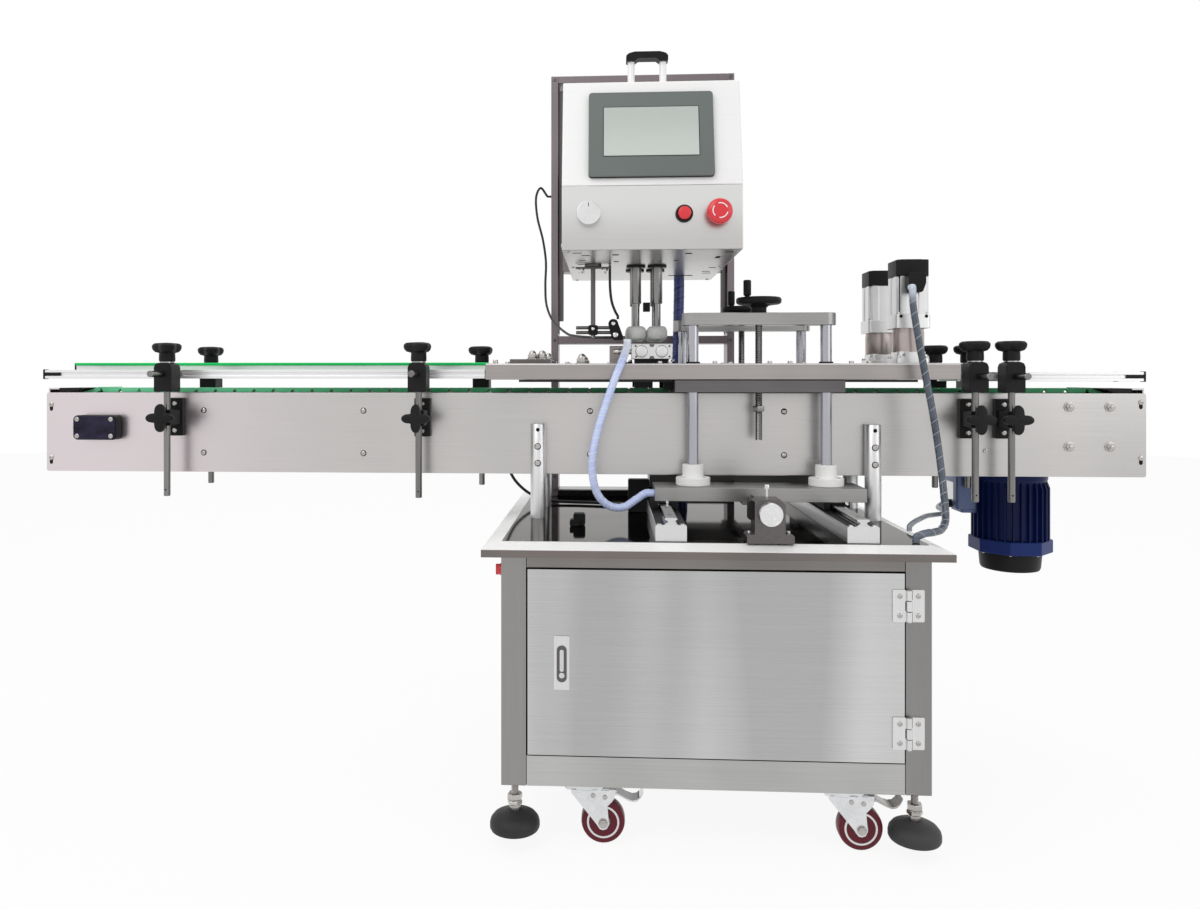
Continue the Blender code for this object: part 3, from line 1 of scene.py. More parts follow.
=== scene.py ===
"""The looks of the capping machine: finishes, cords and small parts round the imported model.

Metres, +Z up. +X runs along the conveyor to its drive end and +Y away from the operator.
Z = 0 is the floor, and X = 0, Y = 0 is the middle of the conveyor.
"""

import math

import bmesh
import bpy
from mathutils import Matrix, Vector


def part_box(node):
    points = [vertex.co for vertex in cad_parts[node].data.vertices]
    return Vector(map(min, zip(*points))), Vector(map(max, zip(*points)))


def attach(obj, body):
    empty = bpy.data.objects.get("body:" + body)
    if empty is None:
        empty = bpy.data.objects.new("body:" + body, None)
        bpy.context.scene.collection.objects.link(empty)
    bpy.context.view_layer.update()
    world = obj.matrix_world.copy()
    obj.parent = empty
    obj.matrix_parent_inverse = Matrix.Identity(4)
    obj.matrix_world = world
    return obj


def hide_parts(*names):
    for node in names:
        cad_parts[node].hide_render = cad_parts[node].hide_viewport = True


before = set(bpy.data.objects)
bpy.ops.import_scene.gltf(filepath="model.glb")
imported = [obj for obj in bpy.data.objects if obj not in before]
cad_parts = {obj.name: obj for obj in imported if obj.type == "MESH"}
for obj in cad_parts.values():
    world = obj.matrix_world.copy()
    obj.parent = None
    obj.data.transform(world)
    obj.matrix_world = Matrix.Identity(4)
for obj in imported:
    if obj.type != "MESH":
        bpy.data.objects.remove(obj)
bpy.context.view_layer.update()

LEFT, RIGHT = Vector((-1, 0, 0)), Vector((1, 0, 0))
FRONT, REAR = Vector((0, -1, 0)), Vector((0, 1, 0))
DOWN, UP = Vector((0, 0, -1)), Vector((0, 0, 1))
SIDES = (("front", -1), ("rear", 1))

# Driving sizes, as in the part's source
TABLE_X = (-0.1418, 0.5862)
TABLE_Y = (-0.35, 0.35)
TABLE_TOP = 0.486
TABLE_BEVEL = 0.03
TABLE_DROP = 0.009
TABLE_LIP = 0.012
PANEL_Y = 0.063
PANEL_Z = (0.566, 0.718)
PANEL_HALF = 1.03
CHAIN_TOP = 0.727
CHAIN_HALF = 0.0413
SPROCKET_X = 0.9333
LOOP_RADIUS = 0.062
LOOP_Z = 0.6602
RAIL_Y = 0.052
POST_Y = 0.105
BED_TOP = 0.772
BED_X, BED_Y, BED_UNDER = (-0.165, 0.678), (0.046, 0.128), 0.743
CARRIER_X, CARRIER_LOW = (0.177, 0.478), 0.72
YOKE_X, YOKE_Z = (0.191, 0.466), (0.841, 0.863)
SLIDE_X, SLIDE_Y = (0.14, 0.509), (0.062, 0.15)
COLUMN_X = (0.211, 0.449)
SCREW_X = 0.329
SLIDE_TOP = 0.552
TRACK_X = (0.157, 0.457)
KNOB_X = 0.3085
WIDTH_SCREW_Z = 0.5345
MOTOR_X, MOTOR_Y = 0.87, 0.132
SIDE_MOTOR_X, SIDE_MOTOR_Y = 0.603, 0.085
HOUSING_X = (-0.02, 0.28)
HOUSING_FRONT, HOUSING_BACK = -0.25, 0.22
HOUSING_BOTTOM, HOUSING_FOLD, HOUSING_TOP = 0.959, 1.066, 1.253
HOUSING_LEAN = 0.045
CONTROLS_Z = 1.018
# Side, start, end, top edge and posts of each guide rail
GUIDES = {
    "front_left": (-1, -1.04, -0.176, 0.762, (-0.769, -0.292)),
    "rear_left": (1, -1.04, -0.176, 0.776, (-0.779, -0.204)),
    "front_right": (-1, 0.7, 1.032, 0.757, (0.711, 0.774)),
    "rear_right": (1, 0.7, 1.04, 0.757, (0.715, 0.78)),
}
SPINDLES = {"front_left": (0.11, -0.033), "front_right": (0.15, -0.033), "rear_left": (0.11, 0.033),
            "rear_right": (0.15, 0.033)}
CORNERS = {"left_front": (-1, -1), "left_rear": (-1, 1), "right_front": (1, -1), "right_rear": (1, 1)}
CABINET_X = 0.2222
CABINET_SIDES = (-0.1123, 0.5567)
CABINET_FACES = (-0.33, 0.33)
CABINET_FLOOR = 0.1
LEG = 0.04
LOW_RAIL = 0.048
DOOR_X = (-0.0703, 0.5152)
DOOR_Z = (0.1497, 0.4437)
HINGE_X = 0.5205
HINGE_LOWS = (0.172, 0.369)
SWIVEL_X, SWIVEL_Y = 0.203, 0.295
FOOT_X, FOOT_Y = 0.3145, 0.31
WHEEL_RADIUS = 0.035
CASTER_TRAIL = 0.03
GANTRY_X, GANTRY_Y = (-0.068, 0.332), (0.23, 0.29)
GANTRY_POST, GANTRY_TOP = 0.0155, 1.411
SENSOR_X, SENSOR_Y = 0.029, -0.056
CLAMP_X, CLAMP_Y, CLAMP_Z = (0.1, 0.174), (-0.1, -0.056), (0.781, 0.808)
SUPPORT_X, SUPPORT_Y = (-0.0726, 0.54), 0.0768
JUNCTION_X, JUNCTION_Z = (-0.9625, -0.879), (0.628, 0.675)
STOP_X, START_X, DIAL_X = 0.239, 0.183, 0.025
SPINDLE_LOW = 0.818
HANDWHEEL_LOW = 0.8633

# Sizes that only the looks use
SHARP_ANGLE = math.radians(38)
BEVEL_STEPS = 2
HINGE_LENGTH = 0.05
HINGE_SCREW_RISES = (0.01, 0.04)
TRACK_SCREWS, TRACK_SCREW_PITCH = 8, 0.08
CHAIN_PITCH = 0.0381
SHEET = 0.0025
FINS = 30
CRANK_REACH = 0.0205
FLANGE_ANGLES = (0.8, 2.35, 3.93, 5.5)
PANEL_SCREWS_X, PANEL_SCREWS_Z = (-0.718, -0.407, 0.0234, 0.3824), (0.684, 0.603)
PANEL_BOLTS_X, PANEL_BOLTS_Z = (0.8943, 0.9664), (0.6934, 0.6208)
RAIL_DEEP, RAIL_HIGH = 0.012, 0.017
CLAMP_HEAD_Z, CLAMP_HEAD_CORNER = (0.7205, 0.7745), 0.009
BRACKET_Z = 0.672
ROD_RADIUS = 0.006
HANDLE_X, HANDLE_Y = (0.103, 0.166), 0.05
BEZEL_X, BEZEL_Z = (0.0245, 0.2335), (0.013, 0.168)
LOUVRES, LOUVRE_PITCH = 7, 0.014


# Finishes

def finish(name, colour, roughness, metallic=0.0, tint=None, grain=300, tone=0.06, wear=0.05, relief=0.0, cloud=5,
           drift=None, **sockets):
    """A material whose colour drifts to a tint in broad clouds, with a finer grain in tone, gloss and height.

    Grain and cloud are noise scales, one number or one per axis. A drift of (axis, from, to, colour)
    blends the colour to another along one axis.
    """
    made = bpy.data.materials.new(name)
    made.use_nodes = True
    nodes, links = made.node_tree.nodes, made.node_tree.links
    shader = nodes["Principled BSDF"]
    shader.inputs["Metallic"].default_value = metallic
    for socket, value in sockets.items():
        shader.inputs[socket.replace("_", " ")].default_value = value

    def add(kind, **inputs):
        node = nodes.new(kind)
        for key, value in inputs.items():
            node.inputs[key.replace("_", " ")].default_value = value
        return node

    def mapping(scale):
        return add("ShaderNodeMapping", Scale=scale if isinstance(scale, tuple) else (scale,) * 3)

    place = add("ShaderNodeTexCoord")
    stretch, spread_out = mapping(grain), mapping(cloud)
    fine = add("ShaderNodeTexNoise", Scale=1.0, Detail=3.0)
    broad = add("ShaderNodeTexNoise", Scale=1.0, Detail=2.0)
    for space, noise in ((stretch, fine), (spread_out, broad)):
        links.new(place.outputs["Object"], space.inputs["Vector"])
        links.new(space.outputs["Vector"], noise.inputs["Vector"])

    def mixed(factor, first, second):
        mix = nodes.new("ShaderNodeMix")
        mix.data_type = "RGBA"
        links.new(factor, mix.inputs[0])
        for socket, value in zip((mix.inputs[6], mix.inputs[7]), (first, second)):
            if isinstance(value, bpy.types.NodeSocket):
                links.new(value, socket)
            else:
                socket.default_value = (*value, 1.0)
        return mix.outputs[2]

    spread = add("ShaderNodeMapRange", From_Min=0.35, From_Max=0.65)
    links.new(broad.outputs["Fac"], spread.inputs["Value"])
    tint = tint or tuple(c * 0.93 for c in colour)
    light = mixed(spread.outputs["Result"], tuple(min(1, c * (1 + tone)) for c in colour),
                  tuple(min(1, c * (1 + tone)) for c in tint))
    dark = mixed(spread.outputs["Result"], tuple(c * (1 - tone) for c in colour),
                 tuple(c * (1 - tone) for c in tint))
    sharp = add("ShaderNodeMapRange", From_Min=0.3, From_Max=0.7)
    links.new(fine.outputs["Fac"], sharp.inputs["Value"])
    paint = mixed(sharp.outputs["Result"], dark, light)
    if drift:
        axis, start, end, far_colour = drift
        split = nodes.new("ShaderNodeSeparateXYZ")
        ramp = add("ShaderNodeMapRange", From_Min=start, From_Max=end)
        ramp.interpolation_type = "SMOOTHSTEP"
        links.new(place.outputs["Object"], split.inputs["Vector"])
        links.new(split.outputs[axis], ramp.inputs["Value"])
        paint = mixed(ramp.outputs["Result"], paint, far_colour)
    links.new(paint, shader.inputs["Base Color"])
    gloss = add("ShaderNodeMapRange", To_Min=max(0.02, roughness - wear), To_Max=min(1.0, roughness + wear))
    links.new(fine.outputs["Fac"], gloss.inputs["Value"])
    links.new(gloss.outputs["Result"], shader.inputs["Roughness"])
    if relief:
        bump = add("ShaderNodeBump", Strength=relief, Distance=0.0004)
        links.new(fine.outputs["Fac"], bump.inputs["Height"])
        links.new(bump.outputs["Normal"], shader.inputs["Normal"])
    return made


ALONG, UPRIGHT = (6, 700, 700), (700, 700, 6)
BANDS = (6, 6, 0.4)
# The panel steel turns lighter and pinker towards the conveyor's left end: painted light on the sheet.
PANEL_STEEL = finish("panel_steel", (0.56, 0.54, 0.53), 0.3, 1.0, (0.5, 0.49, 0.48), ALONG, 0.04, 0.06, 0.05,
                     (3, 3, 1), ("X", -0.35, -0.95, (0.71, 0.64, 0.66)))
CABINET_STEEL = finish("cabinet_steel", (0.29, 0.285, 0.28), 0.32, 1.0, (0.24, 0.235, 0.23), UPRIGHT, 0.05, 0.07,
                       0.06, BANDS)
RAIL_STEEL = finish("rail_steel", (0.5, 0.5, 0.49), 0.32, 1.0, (0.42, 0.42, 0.41), ALONG, 0.05, 0.07, 0.06, 4)
HEADER_STEEL = finish("header_steel", (0.24, 0.23, 0.22), 0.34, 1.0, (0.2, 0.19, 0.18), ALONG, 0.05, 0.07, 0.06)
DOOR_STEEL = finish("door_steel", (0.7, 0.7, 0.7), 0.29, 1.0, (0.43, 0.43, 0.43), ALONG, 0.04, 0.06, 0.05,
                    (4.2, 1, 0.4))
BRIGHT_STEEL = finish("bright_steel", (0.74, 0.74, 0.74), 0.26, 1.0, (0.66, 0.66, 0.66), UPRIGHT, 0.05, 0.06, 0.06)
# The head steel turns lighter towards the top of the housing's lower face: painted light.
HEAD_STEEL = finish("head_steel", (0.58, 0.575, 0.56), 0.3, 1.0, (0.53, 0.52, 0.51), ALONG, 0.04, 0.06, 0.05, 2,
                    ("Z", 0.965, 1.045, (0.7, 0.7, 0.69)))
BED_STEEL = finish("bed_steel", (0.4, 0.365, 0.36), 0.34, 1.0, (0.34, 0.32, 0.31), ALONG, 0.05, 0.06, 0.06)
# A darker copy of the steel for parts that lie in shade: painted shade.
PAINTED_SHADE_STEEL = finish("painted_shade_steel", (0.155, 0.15, 0.15), 0.36, 1.0, (0.12, 0.115, 0.115), ALONG, 0.06, 0.06, 0.06)
GROUND_STEEL = finish("ground_steel", (0.37, 0.365, 0.36), 0.32, 1.0, (0.32, 0.315, 0.31), ALONG, 0.07, 0.06, 0.08)
POST_STEEL = finish("post_steel", (0.225, 0.19, 0.205), 0.34, 1.0, (0.19, 0.165, 0.175), UPRIGHT, 0.06, 0.06, 0.06)
MIRROR_STEEL = finish("mirror_steel", (0.27, 0.265, 0.26), 0.07, 1.0, (0.2, 0.195, 0.19), ALONG, 0.02, 0.03, 0.0,
                      Specular_Tint=(0.54, 0.535, 0.53, 1.0))
# Near white and not metallic: a painted highlight for the bright bevelled steel edges of the table and beds.
BEVEL_HIGHLIGHT = finish("bevel_painted_highlight", (0.97, 0.97, 0.97), 0.3, 0.0, (0.95, 0.95, 0.95), ALONG, 0.02, 0.04, 0.03)
LIP_STEEL = finish("lip_steel", (0.205, 0.182, 0.172), 0.36, 1.0, (0.17, 0.152, 0.145), ALONG, 0.05, 0.06, 0.05)
CHROME = finish("chrome", (0.66, 0.66, 0.67), 0.12, 1.0, (0.6, 0.6, 0.61), 90, 0.03, 0.04)
COLUMN_CHROME = finish("column_chrome", (0.43, 0.43, 0.465), 0.16, 1.0, (0.39, 0.39, 0.425), UPRIGHT, 0.03, 0.04)
BRUSHED_ROD = finish("brushed_rod", (0.25, 0.245, 0.24), 0.24, 1.0, (0.2, 0.195, 0.19), UPRIGHT, 0.05, 0.05)
SCREW_STEEL = finish("screw_steel", (0.5, 0.48, 0.46), 0.24, 1.0, (0.42, 0.4, 0.39), 400, 0.06, 0.06)
DARK_STEEL = finish("dark_steel", (0.155, 0.145, 0.14), 0.36, 1.0, (0.125, 0.115, 0.115), 200, 0.08, 0.08, 0.1)
ALUMINIUM = finish("aluminium", (0.7, 0.7, 0.7), 0.34, 1.0, (0.64, 0.64, 0.64), 900, 0.04, 0.07, 0.08)
PROFILE = finish("anodised_profile", (0.84, 0.84, 0.85), 0.3, 0.6, (0.8, 0.8, 0.81), ALONG, 0.03, 0.05, 0.03)
TURNED = finish("turned_aluminium", (0.8, 0.8, 0.8), 0.22, 1.0, (0.7, 0.7, 0.7), 60, 0.04, 0.06)
# A white coat raised to near white partly as a painted highlight, for the leaning face of the head that catches the
# lamps.
WHITE_COAT_AND_HIGHLIGHT = finish("white_coat_and_highlight", (0.86, 0.86, 0.86), 0.34, 0.1, (0.83, 0.83, 0.835), ALONG, 0.015, 0.05, 0.03)
BLACK = finish("black_plastic", (0.008, 0.008, 0.009), 0.42, 0.0, (0.014, 0.014, 0.015), 1500, 0.15, 0.08, 0.2,
               Specular_IOR_Level=0.13)
JUNCTION = finish("junction_lid", (0.008, 0.007, 0.016), 0.28, 0.0, (0.022, 0.019, 0.045), 600, 0.15, 0.08, 0.1,
                  (30, 30, 60), Specular_IOR_Level=0.16)
RUBBER = finish("black_rubber", (0.022, 0.022, 0.023), 0.55, 0.0, (0.045, 0.045, 0.047), 900, 0.2, 0.1, 0.3,
                Specular_IOR_Level=0.3)
NYLON = finish("white_nylon", (0.9, 0.9, 0.89), 0.42, 0.0, (0.87, 0.87, 0.86), 500, 0.015, 0.06, 0.08)
CAP_WHEEL = finish("cap_wheel", (0.7, 0.71, 0.7), 0.4, 0.0, (0.6, 0.61, 0.61), 300, 0.04, 0.08, 0.1)
# The chain green brightens towards the left end: painted light where the chain lies out of the beds' shade.
CHAIN_GREEN = finish("chain_green", (0.028, 0.26, 0.1), 0.4, 0.0, (0.022, 0.21, 0.08), 400, 0.08, 0.08, 0.1, 8,
                     ("X", -0.3, -0.9, (0.17, 0.68, 0.36)), Specular_IOR_Level=0.3)
STRIP_GREEN = finish("strip_green", (0.0, 0.6, 0.14), 0.38, 0.0, (0.0, 0.54, 0.12), 200, 0.04, 0.06,
                     Specular_IOR_Level=0.3)
RED = finish("red_plastic", (0.75, 0.03, 0.045), 0.3, 0.0, (0.66, 0.018, 0.03), 300, 0.05, 0.06, 0.05,
             Coat_Weight=0.25)
MAROON = finish("maroon_tyre", (0.125, 0.006, 0.016), 0.34, 0.0, (0.09, 0.004, 0.011), 600, 0.1, 0.08, 0.1,
                Specular_IOR_Level=0.3)
HUB_GREY = finish("hub_grey", (0.34, 0.33, 0.33), 0.45, 0.0, (0.28, 0.27, 0.27), 500, 0.06, 0.06, 0.1)
ZINC = finish("zinc", (0.72, 0.73, 0.74), 0.28, 0.9, (0.66, 0.67, 0.68), 300, 0.04, 0.07, 0.03, 60)
NAVY = finish("navy_paint", (0.003, 0.008, 0.055), 0.34, 0.0, (0.005, 0.012, 0.075), 800, 0.12, 0.08, 0.15,
              Specular_IOR_Level=0.14)
BAND_BLUE = finish("band_blue", (0.008, 0.02, 0.115), 0.36, 0.0, (0.011, 0.027, 0.145), 800, 0.08, 0.08, 0.15,
                   Specular_IOR_Level=0.16)
BOX_BLUE = finish("box_blue", (0.1, 0.14, 0.27), 0.36, 0.3, (0.08, 0.11, 0.22), 800, 0.08, 0.08, 0.12)
HOSE_NAVY = finish("hose_navy", (0.03, 0.045, 0.2), 0.26, 0.0, (0.055, 0.08, 0.3), (60, 60, 300), 0.2, 0.08, 0.1,
                   30)
HOSE_BLUE = finish("hose_blue", (0.51, 0.6, 0.94), 0.22, 0.0, (0.6, 0.69, 0.96), 90, 0.05, 0.06, 0.05, 30,
                   ("Z", 0.765, 0.815, (0.8, 0.84, 0.95)), Coat_Weight=0.3)
WRAP_WHITE = finish("wrap_white", (0.86, 0.89, 0.97), 0.25, 0.0, (0.8, 0.84, 0.94), 200, 0.03, 0.06)
SLEEVE_GREY = finish("sleeve_grey", (0.045, 0.058, 0.082), 0.28, 0.0, (0.085, 0.105, 0.14), 90, 0.12, 0.08, 0.1, 14,
                     ("Z", 0.87, 0.905, (0.52, 0.57, 0.66)), Coat_Weight=0.2)
WRAP_GREY = finish("wrap_grey", (0.46, 0.5, 0.57), 0.26, 0.0, (0.36, 0.4, 0.47), 200, 0.06, 0.06)
CABLE = finish("black_cable", (0.012, 0.012, 0.013), 0.4, 0.0, (0.024, 0.024, 0.025), 700, 0.15, 0.08, 0.12,
               Specular_IOR_Level=0.3)
CONDUIT = finish("grey_conduit", (0.3, 0.32, 0.35), 0.32, 0.2, (0.18, 0.2, 0.23), (90, 90, 500), 0.15, 0.08, 0.2,
                 20)
SLATE = finish("slate_bezel", (0.125, 0.145, 0.136), 0.46, 0.0, (0.115, 0.133, 0.125), 900, 0.03, 0.05, 0.05)
SCREEN = finish("screen", (0.47, 0.505, 0.48), 0.2, 0.0, (0.45, 0.485, 0.46), 40, 0.01, 0.03, 0.0, 3,
                ("Z", 1.2, 1.12, (0.53, 0.57, 0.54)))
GEAR_BROWN = finish("gearbox_brown", (0.45, 0.39, 0.37), 0.32, 1.0, (0.39, 0.34, 0.325), (900, 900, 60), 0.05, 0.06,
                    0.05)
# Near black: painted shade in holes, slots, grooves and vents drawn as thin dark sheets, and the colour of a few
# real dark marks such as the dial's pointer.
RECESS_SHADE_AND_MARKS = finish("recess_shade_and_dark_marks", (0.01, 0.01, 0.011), 0.6, 0.0, (0.016, 0.016, 0.018), 400, 0.1, 0.05, 0.1,
              Specular_IOR_Level=0.1)


# Shapes

def mm(*rows):
    """Rows of sizes in millimetres, as tuples in metres."""
    return [tuple(round(value / 1000, 6) for value in row) for row in rows]


def turn_to(direction):
    return Vector(direction).to_track_quat("Z", "Y").to_matrix()


class Shape:
    """Closed shells gathered into one mesh."""

    def __init__(self):
        self.bm = bmesh.new()

    def skin(self, rings):
        """Joins rings of points that match one to one; a ring of one point is a tip."""
        rows = [[self.bm.verts.new(point) for point in ring] for ring in rings]
        for low, high in zip(rows, rows[1:]):
            count = max(len(low), len(high))
            for i in range(count):
                j = (i + 1) % count
                corners = (low[i % len(low)], low[j % len(low)], high[j % len(high)], high[i % len(high)])
                self.bm.faces.new(list(dict.fromkeys(corners)))
        for end in (rows[0], rows[-1]):
            if len(end) > 2:
                self.bm.faces.new(end)
        return self

    def box(self, x, y, z):
        (x0, x1), (y0, y1) = sorted(x), sorted(y)
        base = ((x0, y0), (x1, y0), (x1, y1), (x0, y1))
        return self.skin([[(a, b, level) for a, b in base] for level in sorted(z)])

    def prism(self, outline, axis, low, high):
        """An outline pushed along an axis, between two levels: (x, y) for Z, (x, z) for Y and (y, z) for X."""
        order = {"Z": lambda a, b, t: (a, b, t), "Y": lambda a, b, t: (a, t, b), "X": lambda a, b,
                 t: (t, a, b)}[axis]
        return self.skin([[order(a, b, t) for a, b in outline] for t in sorted((low, high))])

    def plate(self, x, z, radius, axis, low, high, steps=5):
        """A prism of a rectangle with round corners."""
        return self.prism(rounded(x, z, radius, steps), axis, low, high)

    def lathe(self, profile, centre, direction=UP, sides=32, lobes=0, waist=1.0):
        """A turned solid, its profile (radius, height) from the centre. Lobes draw its waist in."""
        turn, centre, rings = turn_to(direction), Vector(centre), []
        for radius, height in profile:
            ring = []
            for i in range(sides if radius > 0 else 1):
                angle = 2 * math.pi * (i + 0.5) / sides
                reach = radius
                if lobes:
                    reach *= waist + (1 - waist) * (0.5 + 0.5 * math.cos(lobes * angle)) ** 0.85
                ring.append(centre + turn @ Vector((reach * math.cos(angle), reach * math.sin(angle), height)))
            rings.append(ring)
        return self.skin(rings)

    def rod(self, start, direction, radius, length, chamfer=0.0, sides=24):
        if not chamfer:
            return self.lathe([(radius, 0), (radius, length)], start, direction, sides)
        return self.lathe([(radius - chamfer, 0), (radius, chamfer), (radius, length - chamfer),
                           (radius - chamfer, length)], start, direction, sides)

    def socket_screw(self, base, direction, radius, height):
        """A cap screw with its socket."""
        return self.lathe([(radius, 0), (radius, height * 0.8), (radius * 0.86, height), (radius * 0.52, height),
                           (radius * 0.5, height * 0.45), (0, height * 0.45)], base, direction, 24)

    def pan_screw(self, base, direction, radius, height):
        return self.lathe([(radius, 0), (radius * 0.95, height * 0.5), (radius * 0.6, height * 0.92),
                           (radius * 0.25, height), (radius * 0.2, height * 0.6), (0, height * 0.6)], base,
                          direction, 20)

    def hexagon(self, base, direction, radius, height, turn_by=0.0):
        turn, base = turn_to(direction), Vector(base)
        rings = []
        for reach, level in ((radius * 0.93, 0), (radius, height * 0.12), (radius, height * 0.88),
                             (radius * 0.93, height)):
            angles = [math.pi / 3 * i + turn_by for i in range(6)]
            rings.append([base + turn @ Vector((reach * math.cos(a), reach * math.sin(a), level)) for a in angles])
        return self.skin(rings)

    def hex_bolt(self, base, direction, radius, height):
        """A bolt head on its washer."""
        self.lathe([(radius * 1.35, 0), (radius * 1.35, 0.0014), (radius * 1.2, 0.0016)], base, direction, 24)
        up = Vector(base) + Vector(direction) * 0.0012
        self.hexagon(up, direction, radius, height)
        return self.lathe([(radius * 0.5, 0), (radius * 0.5, 0.0022), (radius * 0.42, 0.0026)],
                          up + Vector(direction) * (height - 0.0006), direction, 18)

    def acorn(self, base, radius):
        """A domed cap nut, standing up."""
        self.lathe([(radius * 1.3, 0), (radius * 1.3, 0.0015)], base, UP, 20)
        self.hexagon(base, UP, radius, radius * 1.0)
        top = Vector(base) + UP * radius * 0.9
        return self.lathe([(radius * 0.82, 0), (radius * 0.8, radius * 0.35), (radius * 0.62, radius * 0.72),
                           (radius * 0.3, radius * 0.95), (0, radius)], top, UP, 20)

    def tube(self, route, radius, sides=8):
        """A round tube along a route of points."""
        return self.skin(rings_along(route, radius, sides))

    def threaded(self, start, direction, radius, length, pitch=0.0015):
        turns = max(2, round(length / pitch))
        profile = []
        for k in range(turns):
            profile += [(radius, length * k / turns), (radius * 0.88, length * (k + 0.5) / turns)]
        return self.lathe(profile + [(radius * 0.9, length)], start, direction, 16)


def shapes(count):
    return [Shape() for _ in range(count)]


def rings_along(route, radius, sides):
    """Rings round a route, carried along it without twist."""
    route = [Vector(p) for p in route]
    heads = [(b - a).normalized() for a, b in zip(route, route[1:])]
    heads.append(heads[-1])
    side = heads[0].orthogonal().normalized()
    rings = []
    for i, (point, head) in enumerate(zip(route, heads)):
        along = (head + heads[max(0, i - 1)]).normalized()
        side = (side - along * side.dot(along)).normalized()
        other = along.cross(side)
        angles = [2 * math.pi * k / sides for k in range(sides)]
        rings.append([point + radius * (math.cos(a) * side + math.sin(a) * other) for a in angles])
    return rings


def rounded(x, z, radius, steps=5):
    """The outline of a rectangle with round corners."""
    x, z, points = sorted(x), sorted(z), []
    for cx, cy, quarter in ((x[1], z[1], 0), (x[0], z[1], 1), (x[0], z[0], 2), (x[1], z[0], 3)):
        sx = cx - radius if cx == x[1] else cx + radius
        sy = cy - radius if cy == z[1] else cy + radius
        for k in range(steps + 1):
            angle = math.pi / 2 * (quarter + k / steps)
            points.append((sx + radius * math.cos(angle), sy + radius * math.sin(angle)))
    return points


def span(middle, size):
    return (middle - size / 2, middle + size / 2)


def show(name, shape, material, body="root", bevel=0.0, stands_for=()):
    """Makes one piece of the shape, riding on a body."""
    bmesh.ops.recalc_face_normals(shape.bm, faces=shape.bm.faces)
    mesh = bpy.data.meshes.new(name)
    shape.bm.to_mesh(mesh)
    shape.bm.free()
    mesh.materials.append(material)
    mesh.shade_smooth()
    mesh.set_sharp_from_angle(angle=SHARP_ANGLE)
    obj = bpy.data.objects.new(name, mesh)
    bpy.context.scene.collection.objects.link(obj)
    if bevel:
        edge = obj.modifiers.new("edges", "BEVEL")
        edge.width = bevel
        edge.segments = BEVEL_STEPS
        edge.limit_method = "ANGLE"
        edge.angle_limit = SHARP_ANGLE
        edge.harden_normals = True
    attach(obj, body)
    if stands_for:
        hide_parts(*stands_for)
    return obj


def dress(node, material):
    """Gives a CAD node that is kept its finish."""
    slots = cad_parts[node].material_slots
    slots[0].link = "OBJECT"
    slots[0].material = material


# Cabinet, feet and casters

def cabinet():
    """Square legs, rails and sheets round the chamber, with the hinged door in front."""
    (x0, x1), (y0, y1), low, top = CABINET_SIDES, CABINET_FACES, CABINET_FLOOR, 0.4765
    legs = Shape()
    for x in ((x0, x0 + LEG), (x1 - LEG, x1)):
        for y in ((y0, y0 + LEG), (y1 - LEG, y1)):
            legs.box(x, y, (low, top))
    show("cabinet_legs", legs, CABINET_STEEL, "root", 0.0012, ("cabinet_body",))
    inside = (x0 + LEG + 0.0003, x1 - LEG - 0.0003)
    rails, header = shapes(2)
    for y in ((y0 + 0.0006, y0 + 0.0306), (y1 - 0.0306, y1 - 0.0006)):
        rails.box(inside, y, (low, low + LOW_RAIL))
        header.box(inside, y, (DOOR_Z[1] + 0.002, top))
    sheets = Shape()
    for x in ((x0 + 0.001, x0 + 0.003), (x1 - 0.003, x1 - 0.001)):
        wide = (x[0], x[1] + 0.028) if x[0] < 0 else (x[0] - 0.028, x[1])
        rails.box(wide, (y0 + LEG, y1 - LEG), (low, low + LOW_RAIL))
        sheets.box(x, (y0 + LEG + 0.0004, y1 - LEG - 0.0004), (low + LOW_RAIL + 0.0004, top))
    sheets.box(inside, (y1 - 0.003, y1 - 0.001), (low + LOW_RAIL + 0.0004, DOOR_Z[1] + 0.0016))
    sheets.box((x0 + 0.004, x1 - 0.004), (y0 + 0.034, y1 - 0.034), (low + LOW_RAIL - 0.003, low + LOW_RAIL - 0.001))
    show("cabinet_rails", rails, RAIL_STEEL, "root", 0.001)
    show("cabinet_header", header, HEADER_STEEL, "root", 0.001)
    show("cabinet_sheets", sheets, RAIL_STEEL, "root", 0.0004)
    plates = Shape()
    for i, j in CORNERS.values():
        x, y = CABINET_X + i * SWIVEL_X, j * SWIVEL_Y
        plates.plate(span(x, 0.062), span(y, 0.062), 0.005, "Z", low - 0.0035, low - 0.0003)
        for a in (-0.024, 0.024):
            for b in (-0.024, 0.024):
                plates.hexagon((x + a, y + b, low - 0.0033), DOWN, 0.0058, 0.0036)
    show("caster_plates", plates, ZINC, "root", 0.0004)
    door()
    latch()
    switch = Shape()
    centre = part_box("main_switch")
    y, z = (centre[0].y + centre[1].y) / 2, (centre[0].z + centre[1].z) / 2
    switch.lathe(mm((10, 0), (10, 7), (8.8, 9.5), (0, 9.8)), (x0 - 0.0005, y, z), LEFT)
    switch.plate(span(y, 0.0058), span(z, 0.0178), 0.0026, "X", -0.128, -0.1205)
    show("switch_knob", switch, RED, "switch", 0.0006, ("main_switch",))


